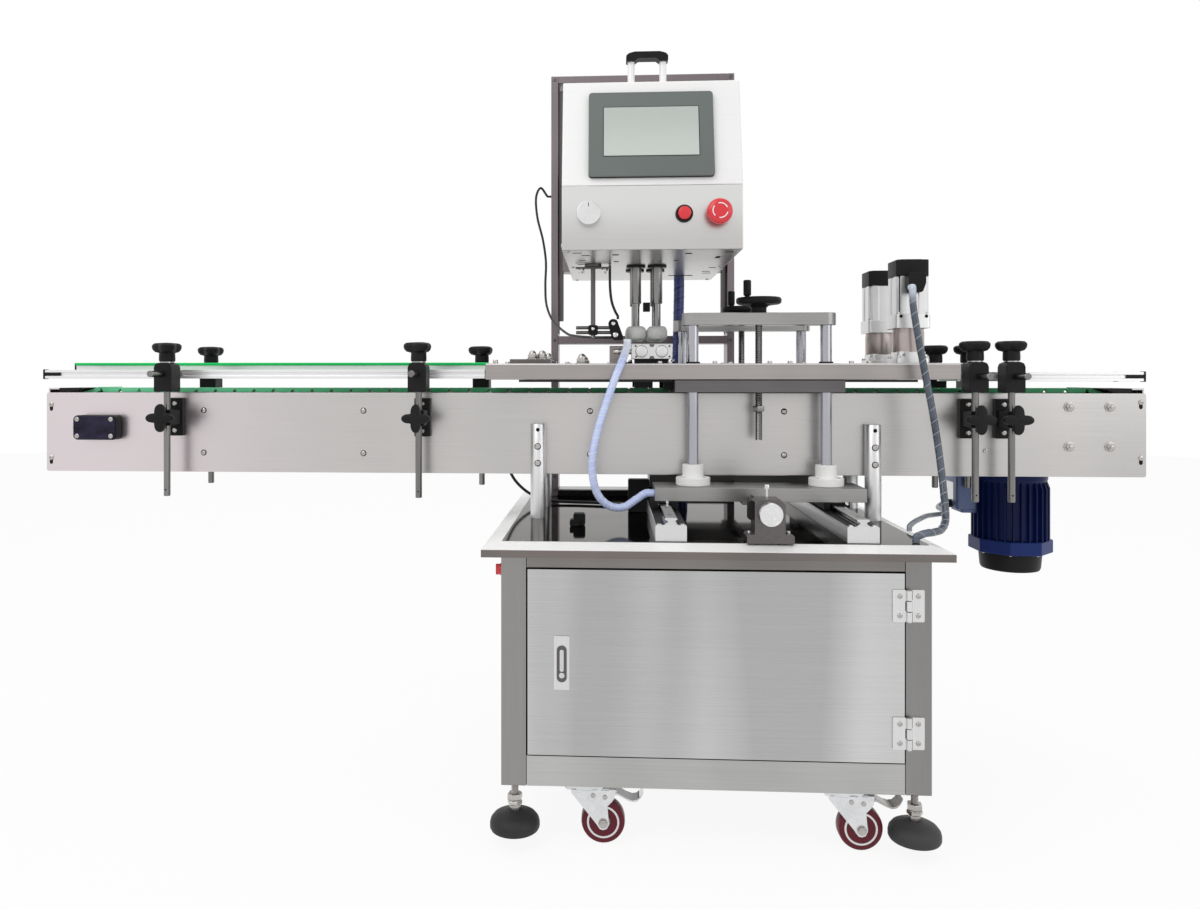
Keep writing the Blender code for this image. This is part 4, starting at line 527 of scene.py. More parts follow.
def door():
    """The sheet door with its folded edges, and the two butt hinges between it and the leg."""
    face = CABINET_FACES[0] - 0.001
    (x0, x1), (z0, z1) = DOOR_X, DOOR_Z
    panel = Shape().box((x0, x1), (face, face + 0.0015), (z0, z1))
    show("door_sheet", panel, DOOR_STEEL, "door", 0.0008, ("cabinet_door",))
    folds = Shape()
    for x in ((x0 + 0.0012, x0 + 0.0027), (x1 - 0.0027, x1 - 0.0012)):
        folds.box(x, (face + 0.0012, face + 0.018), (z0 + 0.0012, z1 - 0.0012))
    for z in ((z0 + 0.0012, z0 + 0.0027), (z1 - 0.0027, z1 - 0.0012)):
        folds.box((x0 + 0.0012, x1 - 0.0012), (face + 0.0012, face + 0.018), z)
    show("door_folds", folds, RAIL_STEEL, "door", 0.0003)
    axis, height = (HINGE_X, face - 0.004), HINGE_LENGTH
    door_leaf, frame_leaf, door_screws, frame_screws, pins = shapes(5)
    third = height / 3
    for low in HINGE_LOWS:
        door_leaf.plate((axis[0] - 0.0245, axis[0] - 0.004), (low, low + height), 0.0025, "Y", face - 0.003,
                        face - 0.0002)
        door_leaf.plate((axis[0] - 0.006, axis[0]), (low + third + 0.0006, low + 2 * third - 0.0006), 0.0004, "Y",
                        face - 0.003, face - 0.0006, 2)
        door_leaf.rod((*axis, low + third + 0.0006), UP, 0.0044, third - 0.0012, 0.0004)
        frame_leaf.plate((axis[0] + 0.004, axis[0] + 0.024), (low, low + height), 0.0025, "Y", face - 0.002,
                         face + 0.0012)
        for part in (0, 2):
            frame_leaf.plate((axis[0], axis[0] + 0.006), (low + part * third + 0.0004,
                                                          low + (part + 1) * third - 0.0004), 0.0004, "Y",
                             face - 0.002, face + 0.0004, 2)
            frame_leaf.rod((*axis, low + part * third + 0.0004), UP, 0.0044, third - 0.0008, 0.0004)
        for rise in HINGE_SCREW_RISES:
            for screws, x, lift in ((door_screws, axis[0] - 0.014, 0.003), (frame_screws, axis[0] + 0.0145, 0.002)):
                screws.lathe(mm((4.2, 0), (4, 0.6), (3, 1.4), (1.2, 1.6), (1.2, 0.7), (0, 0.7)),
                             (x, face - lift, low + rise), FRONT, 20)
        for end, way in ((low, DOWN), (low + height, UP)):
            pins.lathe(mm((3.6, 0), (3.6, 0.8), (2, 1.4), (0, 1.5)), (*axis, end), way, 16)
    show("hinge_leaves_door", door_leaf, BRIGHT_STEEL, "door", 0.0004)
    show("hinge_leaves_frame", frame_leaf, BRIGHT_STEEL, "root", 0.0004)
    show("hinge_screws_door", door_screws, SCREW_STEEL, "door")
    show("hinge_screws_frame", frame_screws, SCREW_STEEL)
    show("hinge_pins", pins, SCREW_STEEL)


def latch():
    """The paddle latch: a plate with a sunk dish, the lever in it and its push button."""
    low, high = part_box("latch_lever")
    x, z, face = (low.x + high.x) / 2, (low.z + high.z) / 2, CABINET_FACES[0] - 0.001
    plate = Shape().plate(span(x, 0.025), span(z, 0.085), 0.0015, "Y", face - 0.0024, face - 0.0003)
    show("latch_plate", plate, BRIGHT_STEEL, "door", 0.0008)
    rim = Shape().plate(span(x, 0.0176), span(z - 0.001, 0.06), 0.0086, "Y", face - 0.003, face - 0.002, 7)
    show("latch_rim", rim, CHROME, "door", 0.0003)
    dish = Shape().plate(span(x, 0.0158), span(z - 0.001, 0.058), 0.0077, "Y", face - 0.00315, face - 0.0028, 7)
    show("latch_dish", dish, DARK_STEEL, "door")
    lever = Shape().plate(span(x, 0.013), span(z, 0.051), 0.0063, "Y", low.y + 0.0002, high.y, 8)
    lever.plate(span(x, 0.0066), span(z + 0.004, 0.035), 0.0032, "Y", low.y - 0.0014, low.y + 0.001, 6)
    lever.lathe(mm((4.6, 0), (4.6, 1.2), (3, 1.8), (0, 1.9)), (x, low.y + 0.0004, z - 0.0195), FRONT)
    show("latch_paddle", lever, CHROME, "latch", 0.001, ("latch_lever",))


def foot(corner, x, y):
    """A rubber pad on its threaded stem, with the lock nut."""
    body = f"foot_{corner}"
    pad = Shape().lathe(mm((34, 24), (38.5, 24.6), (40, 27.5), (40, 34), (38.8, 39), (34.5, 44.5), (27, 48.5),
                           (18, 50.8), (15, 52), (13.5, 53)), (x, y, 0), UP, 48)
    show(f"foot_pad_{corner}", pad, RUBBER, body, 0, (f"levelling_foot_{corner}",))
    stem = Shape().threaded((x, y, 0.06), UP, 0.006, 0.04)
    stem.lathe(mm((9, 52.5), (9.4, 54), (9.4, 62), (8, 63.5)), (x, y, 0))
    stem.hexagon((x, y, 0.063), UP, 0.0122, 0.006, 0.9).hexagon((x, y, 0.07), UP, 0.0122, 0.01, 0.3)
    stem.lathe(mm((10.5, 68.8), (10.5, 70.2)), (x, y, 0))
    show(f"foot_stem_{corner}", stem, SCREW_STEEL, body, 0.0004)


def caster(corner, x, y):
    """A pressed fork under its race, the wheel on its axle and, in front, the brake pedal."""
    ceiling, axle_x, cheek = 0.0957, x + CASTER_TRAIL, 0.014
    fork = Shape().lathe(mm((23, 0), (24, 1.5), (24, 5.5), (21.5, 7), (21.5, 7.8)), (x, y, ceiling), DOWN, 40)
    fork.box((x - 0.02, x + 0.04), (y - cheek - SHEET, y + cheek + SHEET), (0.0872, 0.0897))
    outline = [(x - 0.022, 0.0887), (x - 0.0205, 0.082), (axle_x - 0.0105, 0.033), (axle_x - 0.0055, 0.0255),
               (axle_x, 0.0238), (axle_x + 0.006, 0.026), (axle_x + 0.0095, 0.033), (axle_x + 0.007, 0.062),
               (x + 0.044, 0.069), (x + 0.048, 0.075), (x + 0.05, 0.0887)]
    for side in (-1, 1):
        fork.prism(outline, "Y", y + side * cheek, y + side * (cheek + SHEET))
    show(f"fork_{corner}", fork, ZINC, f"swivel_{corner}", 0.0008, (f"caster_fork_{corner}",))
    bolt = Shape()
    for direction in (FRONT, REAR):
        face = Vector((axle_x, y, WHEEL_RADIUS)) + direction * (cheek + SHEET)
        bolt.lathe(mm((7.8, 0), (7.8, 1.2)), face, direction, 24)
        bolt.hexagon(face + direction * 0.001, direction, 0.0064, 0.0034)
        bolt.lathe(mm((3.6, 0), (3.2, 0.8)), face + direction * 0.0042, direction)
        for dx, dz in ((0.014, 0.079), (0.033, 0.0765)):
            bolt.lathe(mm((4, 0), (3.6, 1.2), (1.4, 1.8)), Vector((x + dx, y, dz)) + direction * (cheek + SHEET),
                       direction, 16)
    show(f"axle_bolt_{corner}", bolt, SCREW_STEEL, f"swivel_{corner}")
    if y < 0:
        route = mm((34, 86), (44, 85), (56, 80), (68, 73.5), (77, 70.5), (84, 71.5), (89.5, 76.5), (94, 85))
        top = [(x + dx, dz + 0.0016) for dx, dz in route]
        bottom = [(x + dx, dz - 0.0016) for dx, dz in reversed(route)]
        pedal = Shape().prism(top + bottom, "Y", y - 0.015, y + 0.012)
        pedal.box((x + 0.03, x + 0.052), (y - 0.014, y + 0.011), (0.079, 0.0872))
        show(f"brake_pedal_{corner}", pedal, CHROME if x < 0.2 else SCREW_STEEL, f"swivel_{corner}", 0.0008)
    wheel_body, centre = f"wheel_{corner}", (axle_x, y, WHEEL_RADIUS)
    tyre = Shape()
    profile = mm((26.2, -11.8), (30.5, -12), (33.8, -10.6), (35, -7), (35, 7), (33.8, 10.6), (30.5, 12),
                 (26.2, 11.8))
    tyre.lathe(profile, centre, REAR, 56)
    show(f"tyre_{corner}", tyre, MAROON, wheel_body, 0, (f"caster_wheel_{corner}",))
    ring = Shape().lathe(mm((22.2, -11.2), (22.8, -12.6), (25.8, -12.4), (26.4, -11.2), (26.4, 11.2), (25.8, 12.4),
                            (22.8, 12.6), (22.2, 11.2)), centre, REAR, 48)
    show(f"rim_{corner}", ring, ALUMINIUM, wheel_body)
    hub = Shape().lathe(mm((9, -12.8), (11, -12.4), (12, -10.4), (22.4, -10), (22.4, 10), (12, 10.4), (11, 12.4),
                           (9, 12.8)), centre, REAR, 40)
    show(f"hub_{corner}", hub, HUB_GREY, wheel_body)


def table():
    """The bevelled top, its turned-down lip, the two tracks and the block of the width screw."""
    shoulder, under = TABLE_TOP - TABLE_DROP, TABLE_TOP - TABLE_DROP - TABLE_LIP

    def loop(inset, level):
        x, y = (TABLE_X[0] + inset, TABLE_X[1] - inset), (TABLE_Y[0] + inset, TABLE_Y[1] - inset)
        return [(x[0], y[0], level), (x[1], y[0], level), (x[1], y[1], level), (x[0], y[1], level)]

    lip = Shape().skin([loop(0.0028, under), loop(0, under), loop(0, shoulder - 0.0006), loop(0.0008, shoulder),
                        loop(0.004, shoulder - 0.003)])
    show("table_lip", lip, LIP_STEEL, "root", 0, ("table_top",))
    # The bevel ring is painted near white: a painted highlight of the light on the slope.
    edge = Shape().skin([loop(0.0006, shoulder - 0.002), loop(0.0006, shoulder + 0.0001),
                         loop(TABLE_BEVEL, TABLE_TOP - 0.0004), loop(TABLE_BEVEL, TABLE_TOP - 0.0024)])
    show("table_bevel", edge, BEVEL_HIGHLIGHT)
    top = Shape().skin([loop(TABLE_BEVEL - 0.0004, TABLE_TOP - 0.002), loop(TABLE_BEVEL - 0.0004, TABLE_TOP)])
    show("table_sheet", top, MIRROR_STEEL)
    tracks, screws, covers, washers, rails = shapes(5)
    for x in TRACK_X:
        base = [(x - 0.025, 0.4862), (x + 0.025, 0.4862), (x + 0.025, 0.5105), (x + 0.0235, 0.5125),
                (x - 0.0235, 0.5125), (x - 0.025, 0.5105)]
        tracks.prism(base, "Y", -0.315, 0.315)
        for k in range(TRACK_SCREWS):
            screws.socket_screw((x, -0.28 + TRACK_SCREW_PITCH * k, 0.5236), UP, 0.0032, 0.0006)
        for side in (-1, 1):
            covers.box((x + side * 0.0108, x + side * 0.0236), (-0.306, 0.306), (0.5122, 0.5134))
            for end in (-1, 1):
                washers.lathe(mm((4.2, 0), (4.2, 1.2), (3, 2)), (x + side * 0.0182, end * 0.3095, 0.5124), UP, 20)
        half = mm((10, 512.2), (10, 513.6), (5.8, 516), (5.2, 517.8), (6.6, 519.6), (9.8, 520.8), (9.8, 522.8),
                  (8.6, 524))
        rails.prism([(x + a, b) for a, b in half] + [(x - a, b) for a, b in reversed(half)], "Y", -0.3148, 0.3148)
    show("track_bases", tracks, ALUMINIUM, "root", 0.0005)
    show("track_rails", rails, CHROME, "root", 0.0003)
    show("track_screws", screws, DARK_STEEL)
    show("track_covers", covers, BLACK)
    show("track_washers", washers, TURNED)
    width_block()
    sill, face = Shape().box((-0.052, 0.316), (0.233, 0.287), (0.4863, 0.501)), Shape()
    face.box((-0.0518, 0.3158), (0.2322, 0.2334), (0.4864, 0.4985))
    show("gantry_sill", sill, GROUND_STEEL, "root", 0.0006)
    show("gantry_sill_face", face, BLACK)
    clip = Shape().plate((-0.004, 0.017), (0.4864, 0.508), 0.004, "Y", -0.17, -0.152)
    clip.plate((-0.01, 0.008), (0.4864, 0.498), 0.003, "Y", -0.176, -0.158)
    show("cable_clip", clip, BLACK, "root", 0.001)
    show("valve_box", Shape().plate((0.096, 0.137), (0.4863, 0.55), 0.003, "Y", -0.004, 0.018), BLACK, "root",
         0.0012)


def width_block():
    """The bearing block of the width screw, its turned knob and the threaded spindle."""
    y, left, right, top = (-0.3288, -0.289), 0.274, 0.348, 0.556
    foot_top = TABLE_TOP + 0.015
    outline = [(left, TABLE_TOP + 0.0003), (right, TABLE_TOP + 0.0003), (right, foot_top - 0.003),
               (right - 0.003, foot_top), (right - 0.014, foot_top), (right - 0.014, top - 0.008),
               (right - 0.022, top), (left + 0.018, top), (left + 0.012, top - 0.006), (left + 0.012, foot_top),
               (left + 0.003, foot_top), (left, foot_top - 0.003)]
    show("width_block", Shape().prism(outline, "Y", *y), DARK_STEEL, "root", 0.001)
    cheek = Shape().plate((left + 0.004, left + 0.0125), (0.523, 0.553), 0.002, "Y", -0.322, -0.3)
    show("width_block_cheek", cheek, BLACK, "root", 0.0006)
    screw = Shape().rod((left + 0.034, -0.309, top - 0.001), UP, 0.0019, 0.016, sides=16)
    screw.socket_screw((left + 0.034, -0.309, top + 0.0145), UP, 0.004, 0.0068)
    for x in (left + 0.007, right - 0.007):
        screw.socket_screw((x, -0.309, foot_top), UP, 0.0042, 0.003)
    show("width_block_screws", screw, CHROME)
    knob = Shape().lathe(mm((10, 329.4), (17.6, 329.4), (18.5, 330.4), (18.5, 348), (17.6, 349.2), (14.8, 349.3),
                            (14.6, 348.9), (11.2, 348.9), (11, 349.3), (7.8, 349.3), (7.6, 348.9), (4.6, 348.9),
                            (4.4, 349.3), (1.6, 349.3), (1.4, 348.4), (0, 348.4)), (KNOB_X, 0, WIDTH_SCREW_Z),
                         FRONT, 56)
    show("width_knob_turned", knob, TURNED, "width_screw", 0, ("width_knob",))
    spindle = Shape().threaded((KNOB_X, -0.329, WIDTH_SCREW_Z), REAR, 0.006, 0.498, 0.004)
    show("width_spindle", spindle, DARK_STEEL, "width_screw")


# Conveyor

def panels():
    """The two side panels with their lips, fasteners and end plates, and the transfer bars."""
    web, screws, bolts, slots, rings = shapes(5)
    for _, side in SIDES:
        outer, inner, lip = side * PANEL_Y, side * (PANEL_Y - SHEET), side * (PANEL_Y - 0.018)
        web.plate((-PANEL_HALF, PANEL_HALF), PANEL_Z, 0.004, "Y", outer, inner)
        for low in (PANEL_Z[0], PANEL_Z[1] - SHEET):
            web.box((-PANEL_HALF + 0.11, PANEL_HALF - 0.11), (inner, lip), (low, low + SHEET))
        out = Vector((0, side, 0))
        for x in PANEL_SCREWS_X:
            for z in PANEL_SCREWS_Z:
                rings.lathe(mm((5.8, 0), (5.5, 0.6)), (x, outer, z), out, 24)
                screws.pan_screw((x, outer + side * 0.0004, z), out, 0.0045, 0.0024)
        screws.pan_screw((0.7452, outer, 0.6126), out, 0.0042, 0.0024)
        for x in PANEL_BOLTS_X:
            for z in PANEL_BOLTS_Z:
                bolts.hex_bolt((x, outer, z), out, 0.007, 0.005)
        for x, z in ((1.0205, 0.702), (1.0205, 0.601), (-1.0205, 0.695), (-1.0205, 0.592)):
            slots.plate(span(x, 0.0064), (z - 0.0125, z + 0.0032), 0.0031, "Y", outer, outer + side * 0.0002)
            screws.pan_screw((x, outer, z), out, 0.0048, 0.0026)
    half = PANEL_HALF
    for side in (-1, 1):
        web.box((side * (half - 0.005), side * (half - 0.002)), (-0.06, 0.06), (PANEL_Z[0] + 0.004, CHAIN_TOP))
        web.box((side * (half - 0.0022), side * (half - 0.0235)), (-0.0605, 0.0605),
                (CHAIN_TOP - 0.003, CHAIN_TOP - 0.0002))
    show("conveyor_panels", web, PANEL_STEEL, "root", 0.0006, ("conveyor_frame",))
    show("panel_screws", screws, SCREW_STEEL)
    show("panel_rings", rings, BLACK)
    show("panel_bolts", bolts, SCREW_STEEL, "root", 0.0003)
    # The slots in the end plates are thin dark sheets: painted shade in the openings.
    show("panel_slots", slots, RECESS_SHADE_AND_MARKS)
    bars = Shape()
    for side in (-1, 1):
        outline = mm((1006.4, 727), (948, 727), (950, 726.2), (965, 723.6), (980, 718.2), (1006.4, 716.5))
        bars.prism([(side * x, z) for x, z in outline], "Y", -0.0585, 0.0585)
    show("transfer_bars", bars, BLACK, "root", 0.0004)


def supports():
    """The round posts that carry the conveyor on the table, screwed to its panels."""
    posts, screws, holes = shapes(3)
    for x in SUPPORT_X:
        for _, side in SIDES:
            y = side * SUPPORT_Y
            posts.lathe(mm((14.6, 486.2), (14.6, 659.8), (13.8, 661)), (x, y, 0), UP, 40)
            face = Vector((x, side * 0.0911, 0))
            holes.lathe(mm((3.6, 0), (3.6, 0.6)), face + UP * 0.6505, (0, side, 0), 20)
            for z in (0.6195, 0.5885):
                holes.lathe(mm((6.2, 0), (6.2, 0.5)), face + UP * z, (0, side, 0), 24)
                screws.socket_screw(face + UP * z, (0, side, 0), 0.0048, 0.0016)
    show("support_posts", posts, ALUMINIUM)
    # The holes and counterbores are thin dark discs: painted shade in the recesses.
    show("support_holes", holes, RECESS_SHADE_AND_MARKS)
    show("support_screws", screws, SCREW_STEEL)


def rail_brackets():
    """Black clamps on the panels, each with its star grip, for the guide rails' posts."""
    clamps, grips, screws = shapes(3)
    for side, _, _, _, posts in GUIDES.values():
        face, post, out = side * PANEL_Y, side * POST_Y, Vector((0, side, 0))
        for x in posts:
            clamps.plate(span(x, 0.03), (0.636, 0.708), 0.002, "Y", face, face + side * 0.012)
            clamps.plate(span(x, 0.024), span(BRACKET_Z, 0.03), 0.003, "Y", face + side * 0.01, post + side * 0.012)
            for z in (0.6465, 0.6975):
                screws.socket_screw((x, face + side * 0.0115, z), out, 0.0042, 0.0016)
            grips.lathe(mm((8.5, 10), (8.5, 20.5)), (x, post, BRACKET_Z), out, 24)
            grips.lathe(mm((19, 19.5), (24, 20.3), (26, 23.5), (26.2, 29), (24.8, 32.8), (20, 33.9), (0, 33.9)),
                        (x, post, BRACKET_Z), out, 72, 4, 0.5)
    show("rail_clamps", clamps, BLACK, "root", 0.001)
    show("star_grips", grips, BLACK)
    show("clamp_screws", screws, SCREW_STEEL)


def chain():
    """Flat-top plates round the loop, each with its hinge eyes and pin below."""
    straight, arc = 2 * SPROCKET_X, math.pi * LOOP_RADIUS
    total = 2 * (straight + arc)
    count = round(total / CHAIN_PITCH)
    plates, pins = shapes(2)

    def place(distance):
        """The frame of a link that far along the loop, from the left end of its upper run."""
        distance %= total
        for start, level, heading in ((-SPROCKET_X, 1, 1), (SPROCKET_X, -1, -1)):
            if distance < straight:
                shift = Matrix.Translation((start + heading * distance, 0, LOOP_Z + level * LOOP_RADIUS))
                return shift @ Matrix.Rotation(0 if level > 0 else math.pi, 4, "Y")
            distance -= straight
            if distance < arc:
                angle = distance / LOOP_RADIUS + (0 if level > 0 else math.pi)
                hub = Matrix.Translation((heading * SPROCKET_X, 0, LOOP_Z))
                return hub @ Matrix.Rotation(angle, 4, "Y") @ Matrix.Translation((0, 0, LOOP_RADIUS))
            distance -= arc

    outline = mm((-17.8, 1.2), (-17, 4.4), (-16, 4.7), (16, 4.7), (17, 4.4), (17.8, 1.2), (12, 0.4), (-12, 0.4))
    lug = mm((-15, -3.4), (-17.2, 2), (-16.6, 4.4), (16.6, 4.4), (17.2, 2), (15, -3.4))
    for link in range(count):
        matrix = place((link + 0.5) * total / count)
        for y in ((-CHAIN_HALF, -0.014), (-0.0136, 0.0136), (0.014, CHAIN_HALF)):
            plates.skin([[matrix @ Vector((a, level, b)) for a, b in outline] for level in y])
        for y in ((-CHAIN_HALF - 0.0004, -0.037), (0.037, CHAIN_HALF + 0.0004)):
            plates.skin([[matrix @ Vector((a, level, b)) for a, b in lug] for level in y])
        pins.rod(matrix @ Vector((-0.019, -0.026, 0.0004)), matrix.to_3x3() @ REAR, 0.0028, 0.052, sides=10)
    show("chain_plates", plates, CHAIN_GREEN, "root", 0, ("conveyor_chain",))
    show("chain_pins", pins, DARK_STEEL)


def guide_rail(name, side, start, end, top, posts):
    """A guide rail's slotted profile and green strip, and the head, rods and knob of each post."""
    body = f"rail_{name}"
    y, low = side * RAIL_Y, top - RAIL_HIGH
    out, inner = y + side * RAIL_DEEP / 2, y - side * RAIL_DEEP / 2
    groove = out - side * 0.0022
    outline = [(inner, low), (out, low), (out, low + 0.005), (groove, low + 0.006), (groove, top - 0.006),
               (out, top - 0.005), (out, top), (inner, top)]
    show(f"profile_{name}", Shape().prism(outline, "X", start + 0.0025, end), PROFILE, body, 0.0004,
         (f"guide_rail_{name}",))
    strip_z = (top - 0.0045, top + 0.0012) if name == "rear_left" else (low + 0.003, top - 0.002)
    strip = Shape().plate((inner + side * 0.0002, y - side * 0.0108), strip_z, 0.0016, "X", start + 0.004,
                          end - 0.006, 3)
    show(f"wear_strip_{name}", strip, STRIP_GREEN, body)
    caps = Shape()
    tip = start if start < 0 else end
    inwards = 1 if start < 0 else -1
    caps.plate(span(y, 0.014), (low - 0.0012, top + 0.001), 0.002, "X", tip, tip + inwards * 0.003)
    caps.plate((groove, out + side * 0.0004), (low + 0.0055, top - 0.0055), 0.0008, "X", tip + inwards * 0.003,
               tip + inwards * 0.034, 2)
    heads, rods, collars, knobs = shapes(4)
    z, corner = CLAMP_HEAD_Z, CLAMP_HEAD_CORNER
    for x in posts:
        head = [(x - 0.017, z[0]), (x + 0.017, z[0]), (x + 0.017, z[1] - corner),
                (x + 0.017 - 0.0026, z[1] - 0.0026), (x + 0.017 - corner, z[1]), (x - 0.017 + corner, z[1]),
                (x - 0.017 + 0.0026, z[1] - 0.0026), (x - 0.017, z[1] - corner)]
        heads.prism(head, "Y", side * (POST_Y - 0.018), side * (POST_Y + 0.018))
        rods.rod((x, side * POST_Y, 0.525), UP, ROD_RADIUS, 0.196, 0.0008)
        rods.rod((x, side * 0.1698, top - 0.0085), (0, -side, 0), ROD_RADIUS, 0.1698 - abs(out) + 0.002, 0.001)
        caps.lathe(mm((1.6, 0), (1.6, 0.4)), (x, side * (POST_Y + 0.0058), 0.537), (0, side, 0), 16)
        collars.lathe(mm((12.5, 0), (12.5, 2.2), (11.8, 2.6)), (x, side * POST_Y, 0.7743), UP, 32)
        base = (x, side * POST_Y, 0.7765)
        knobs.lathe(mm((12.8, 0), (14.2, 1), (14.5, 6), (14, 18.5)), base, UP, 40)
        knobs.lathe(mm((14, 16), (22.5, 18.2), (26.8, 22.5), (28.3, 27.5), (27.5, 31.5), (23.5, 34.5), (15, 35.3),
                       (0, 35.4)), base, UP, 72, 3, 0.66)
    show(f"rail_heads_{name}", heads, BLACK, body, 0.0012)
    show(f"rail_rods_{name}", rods, BRUSHED_ROD, body)
    show(f"rail_collars_{name}", collars, SCREW_STEEL, body)
    show(f"rail_knobs_{name}", knobs, BLACK, body)
    show(f"rail_caps_{name}", caps, BLACK, body, 0.0003)


def junction_box():
    """The small lidded box on the front panel."""
    x, z, face = JUNCTION_X, JUNCTION_Z, -PANEL_Y - 0.0003
    shell = Shape().plate(x, z, 0.008, "Y", face - 0.0235, face)
    show("junction_shell", shell, BLACK, "root", 0.0018, ("junction_box",))
    lid = Shape().plate((x[0] + 0.0012, x[1] - 0.0012), (z[0] + 0.0012, z[1] - 0.0012), 0.0072, "Y", face - 0.0258,
                        face - 0.0225)
    show("junction_lid", lid, JUNCTION, "root", 0.001)
    screws = Shape()
    for sx in (x[0] + 0.0085, x[1] - 0.0085):
        for sz in (z[0] + 0.0075, z[1] - 0.0075):
            screws.pan_screw((sx, face - 0.0253, sz), FRONT, 0.0046, 0.0016)
    screws.lathe(mm((3, 0), (3, 6.2), (2.2, 7.4)), (x[0] + 0.0006, face - 0.012, 0.6515), LEFT, 20)
    show("junction_screws", screws, SCREW_STEEL)


def belt_motor():
    """The finned motor that hangs below its gearbox, with its terminal box."""
    centre = (MOTOR_X + 0.004, MOTOR_Y, 0)
    body, fins = shapes(2)
    body.lathe(mm((63, 423), (65, 425), (65, 536), (67.5, 540), (69, 544), (69, 556), (64, 560)), centre, UP, 64)
    for i in range(FINS):
        angle = 2 * math.pi * i / FINS
        along, across = Vector((math.cos(angle), math.sin(angle),
                                0)), Vector((-math.sin(angle), math.cos(angle), 0))
        rings = []
        for z, reach in ((0.4232, 0.0722), (0.526, 0.0722), (0.54, 0.067)):
            rings.append([Vector(centre) + UP * z + along * r + across * w for r,
                          w in ((0.063, -0.0022), (reach, -0.0012), (reach, 0.0012), (0.063, 0.0022))])
        fins.skin(rings)
    show("motor_shell", body, NAVY, "root", 0, ("belt_motor",))
    show("motor_fins", fins, NAVY)
    band = Shape().lathe(mm((74.5, 396.5), (77.5, 397.7), (77.5, 422.3), (74.5, 423.5)), centre, UP, 8)
    show("motor_band", band, BAND_BLUE, "root", 0.001)
    cowl = Shape().lathe(mm((0, 359), (48, 359), (54, 360.5), (56.2, 365), (59, 397.2)), centre, UP, 64)
    show("motor_cowl", cowl, BLACK)
    box_x, box_y = (0.7625, 0.805), (MOTOR_Y - 0.015, MOTOR_Y + 0.055)
    housing = Shape().plate(box_x, box_y, 0.006, "Z", 0.4795, 0.5475)
    housing.plate((box_x[0] + 0.012, box_x[1] + 0.012), (box_y[0] + 0.006, box_y[1] - 0.006), 0.004, "Z", 0.472,
                  0.552)
    show("motor_terminal_box", housing, BOX_BLUE, "root", 0.0016)
    plate = Shape().plate((MOTOR_Y + 0.002, MOTOR_Y + 0.038), (0.493, 0.533), 0.002, "X", 0.762, 0.7628)
    show("motor_plate", plate, ALUMINIUM)
    gear = Shape().plate((MOTOR_X - 0.045, SPROCKET_X + 0.045), (0.559, 0.705), 0.016, "Y", 0.0635, MOTOR_Y + 0.04)
    gear.lathe(mm((34, 0), (34, 6), (30, 8), (12, 8), (12, 4), (0, 4)),
               (SPROCKET_X - 0.005, MOTOR_Y + 0.03, LOOP_Z), REAR, 48)
    show("motor_gearbox", gear, NAVY, "root", 0.0035)
    bolts = Shape()
    for a in range(4):
        angle = math.pi / 4 + a * math.pi / 2
        bolts.hex_bolt((SPROCKET_X - 0.005 + 0.024 * math.cos(angle), MOTOR_Y + 0.04,
                        LOOP_Z + 0.024 * math.sin(angle)), REAR, 0.0048, 0.003)
    for a in range(8):
        angle = math.pi / 8 + a * math.pi / 4
        bolts.socket_screw((centre[0] + 0.068 * math.cos(angle), MOTOR_Y + 0.068 * math.sin(angle), 0.3968), DOWN,
                           0.003, 0.002)
    show("motor_bolts", bolts, SCREW_STEEL)
    gland = Shape().lathe(mm((8.5, 0), (8.5, 4), (6.8, 5.5), (6.2, 10)), (0.7628, 0.15, 0.488), LEFT, 24)
    show("motor_gland", gland, BLACK)


# Capping station

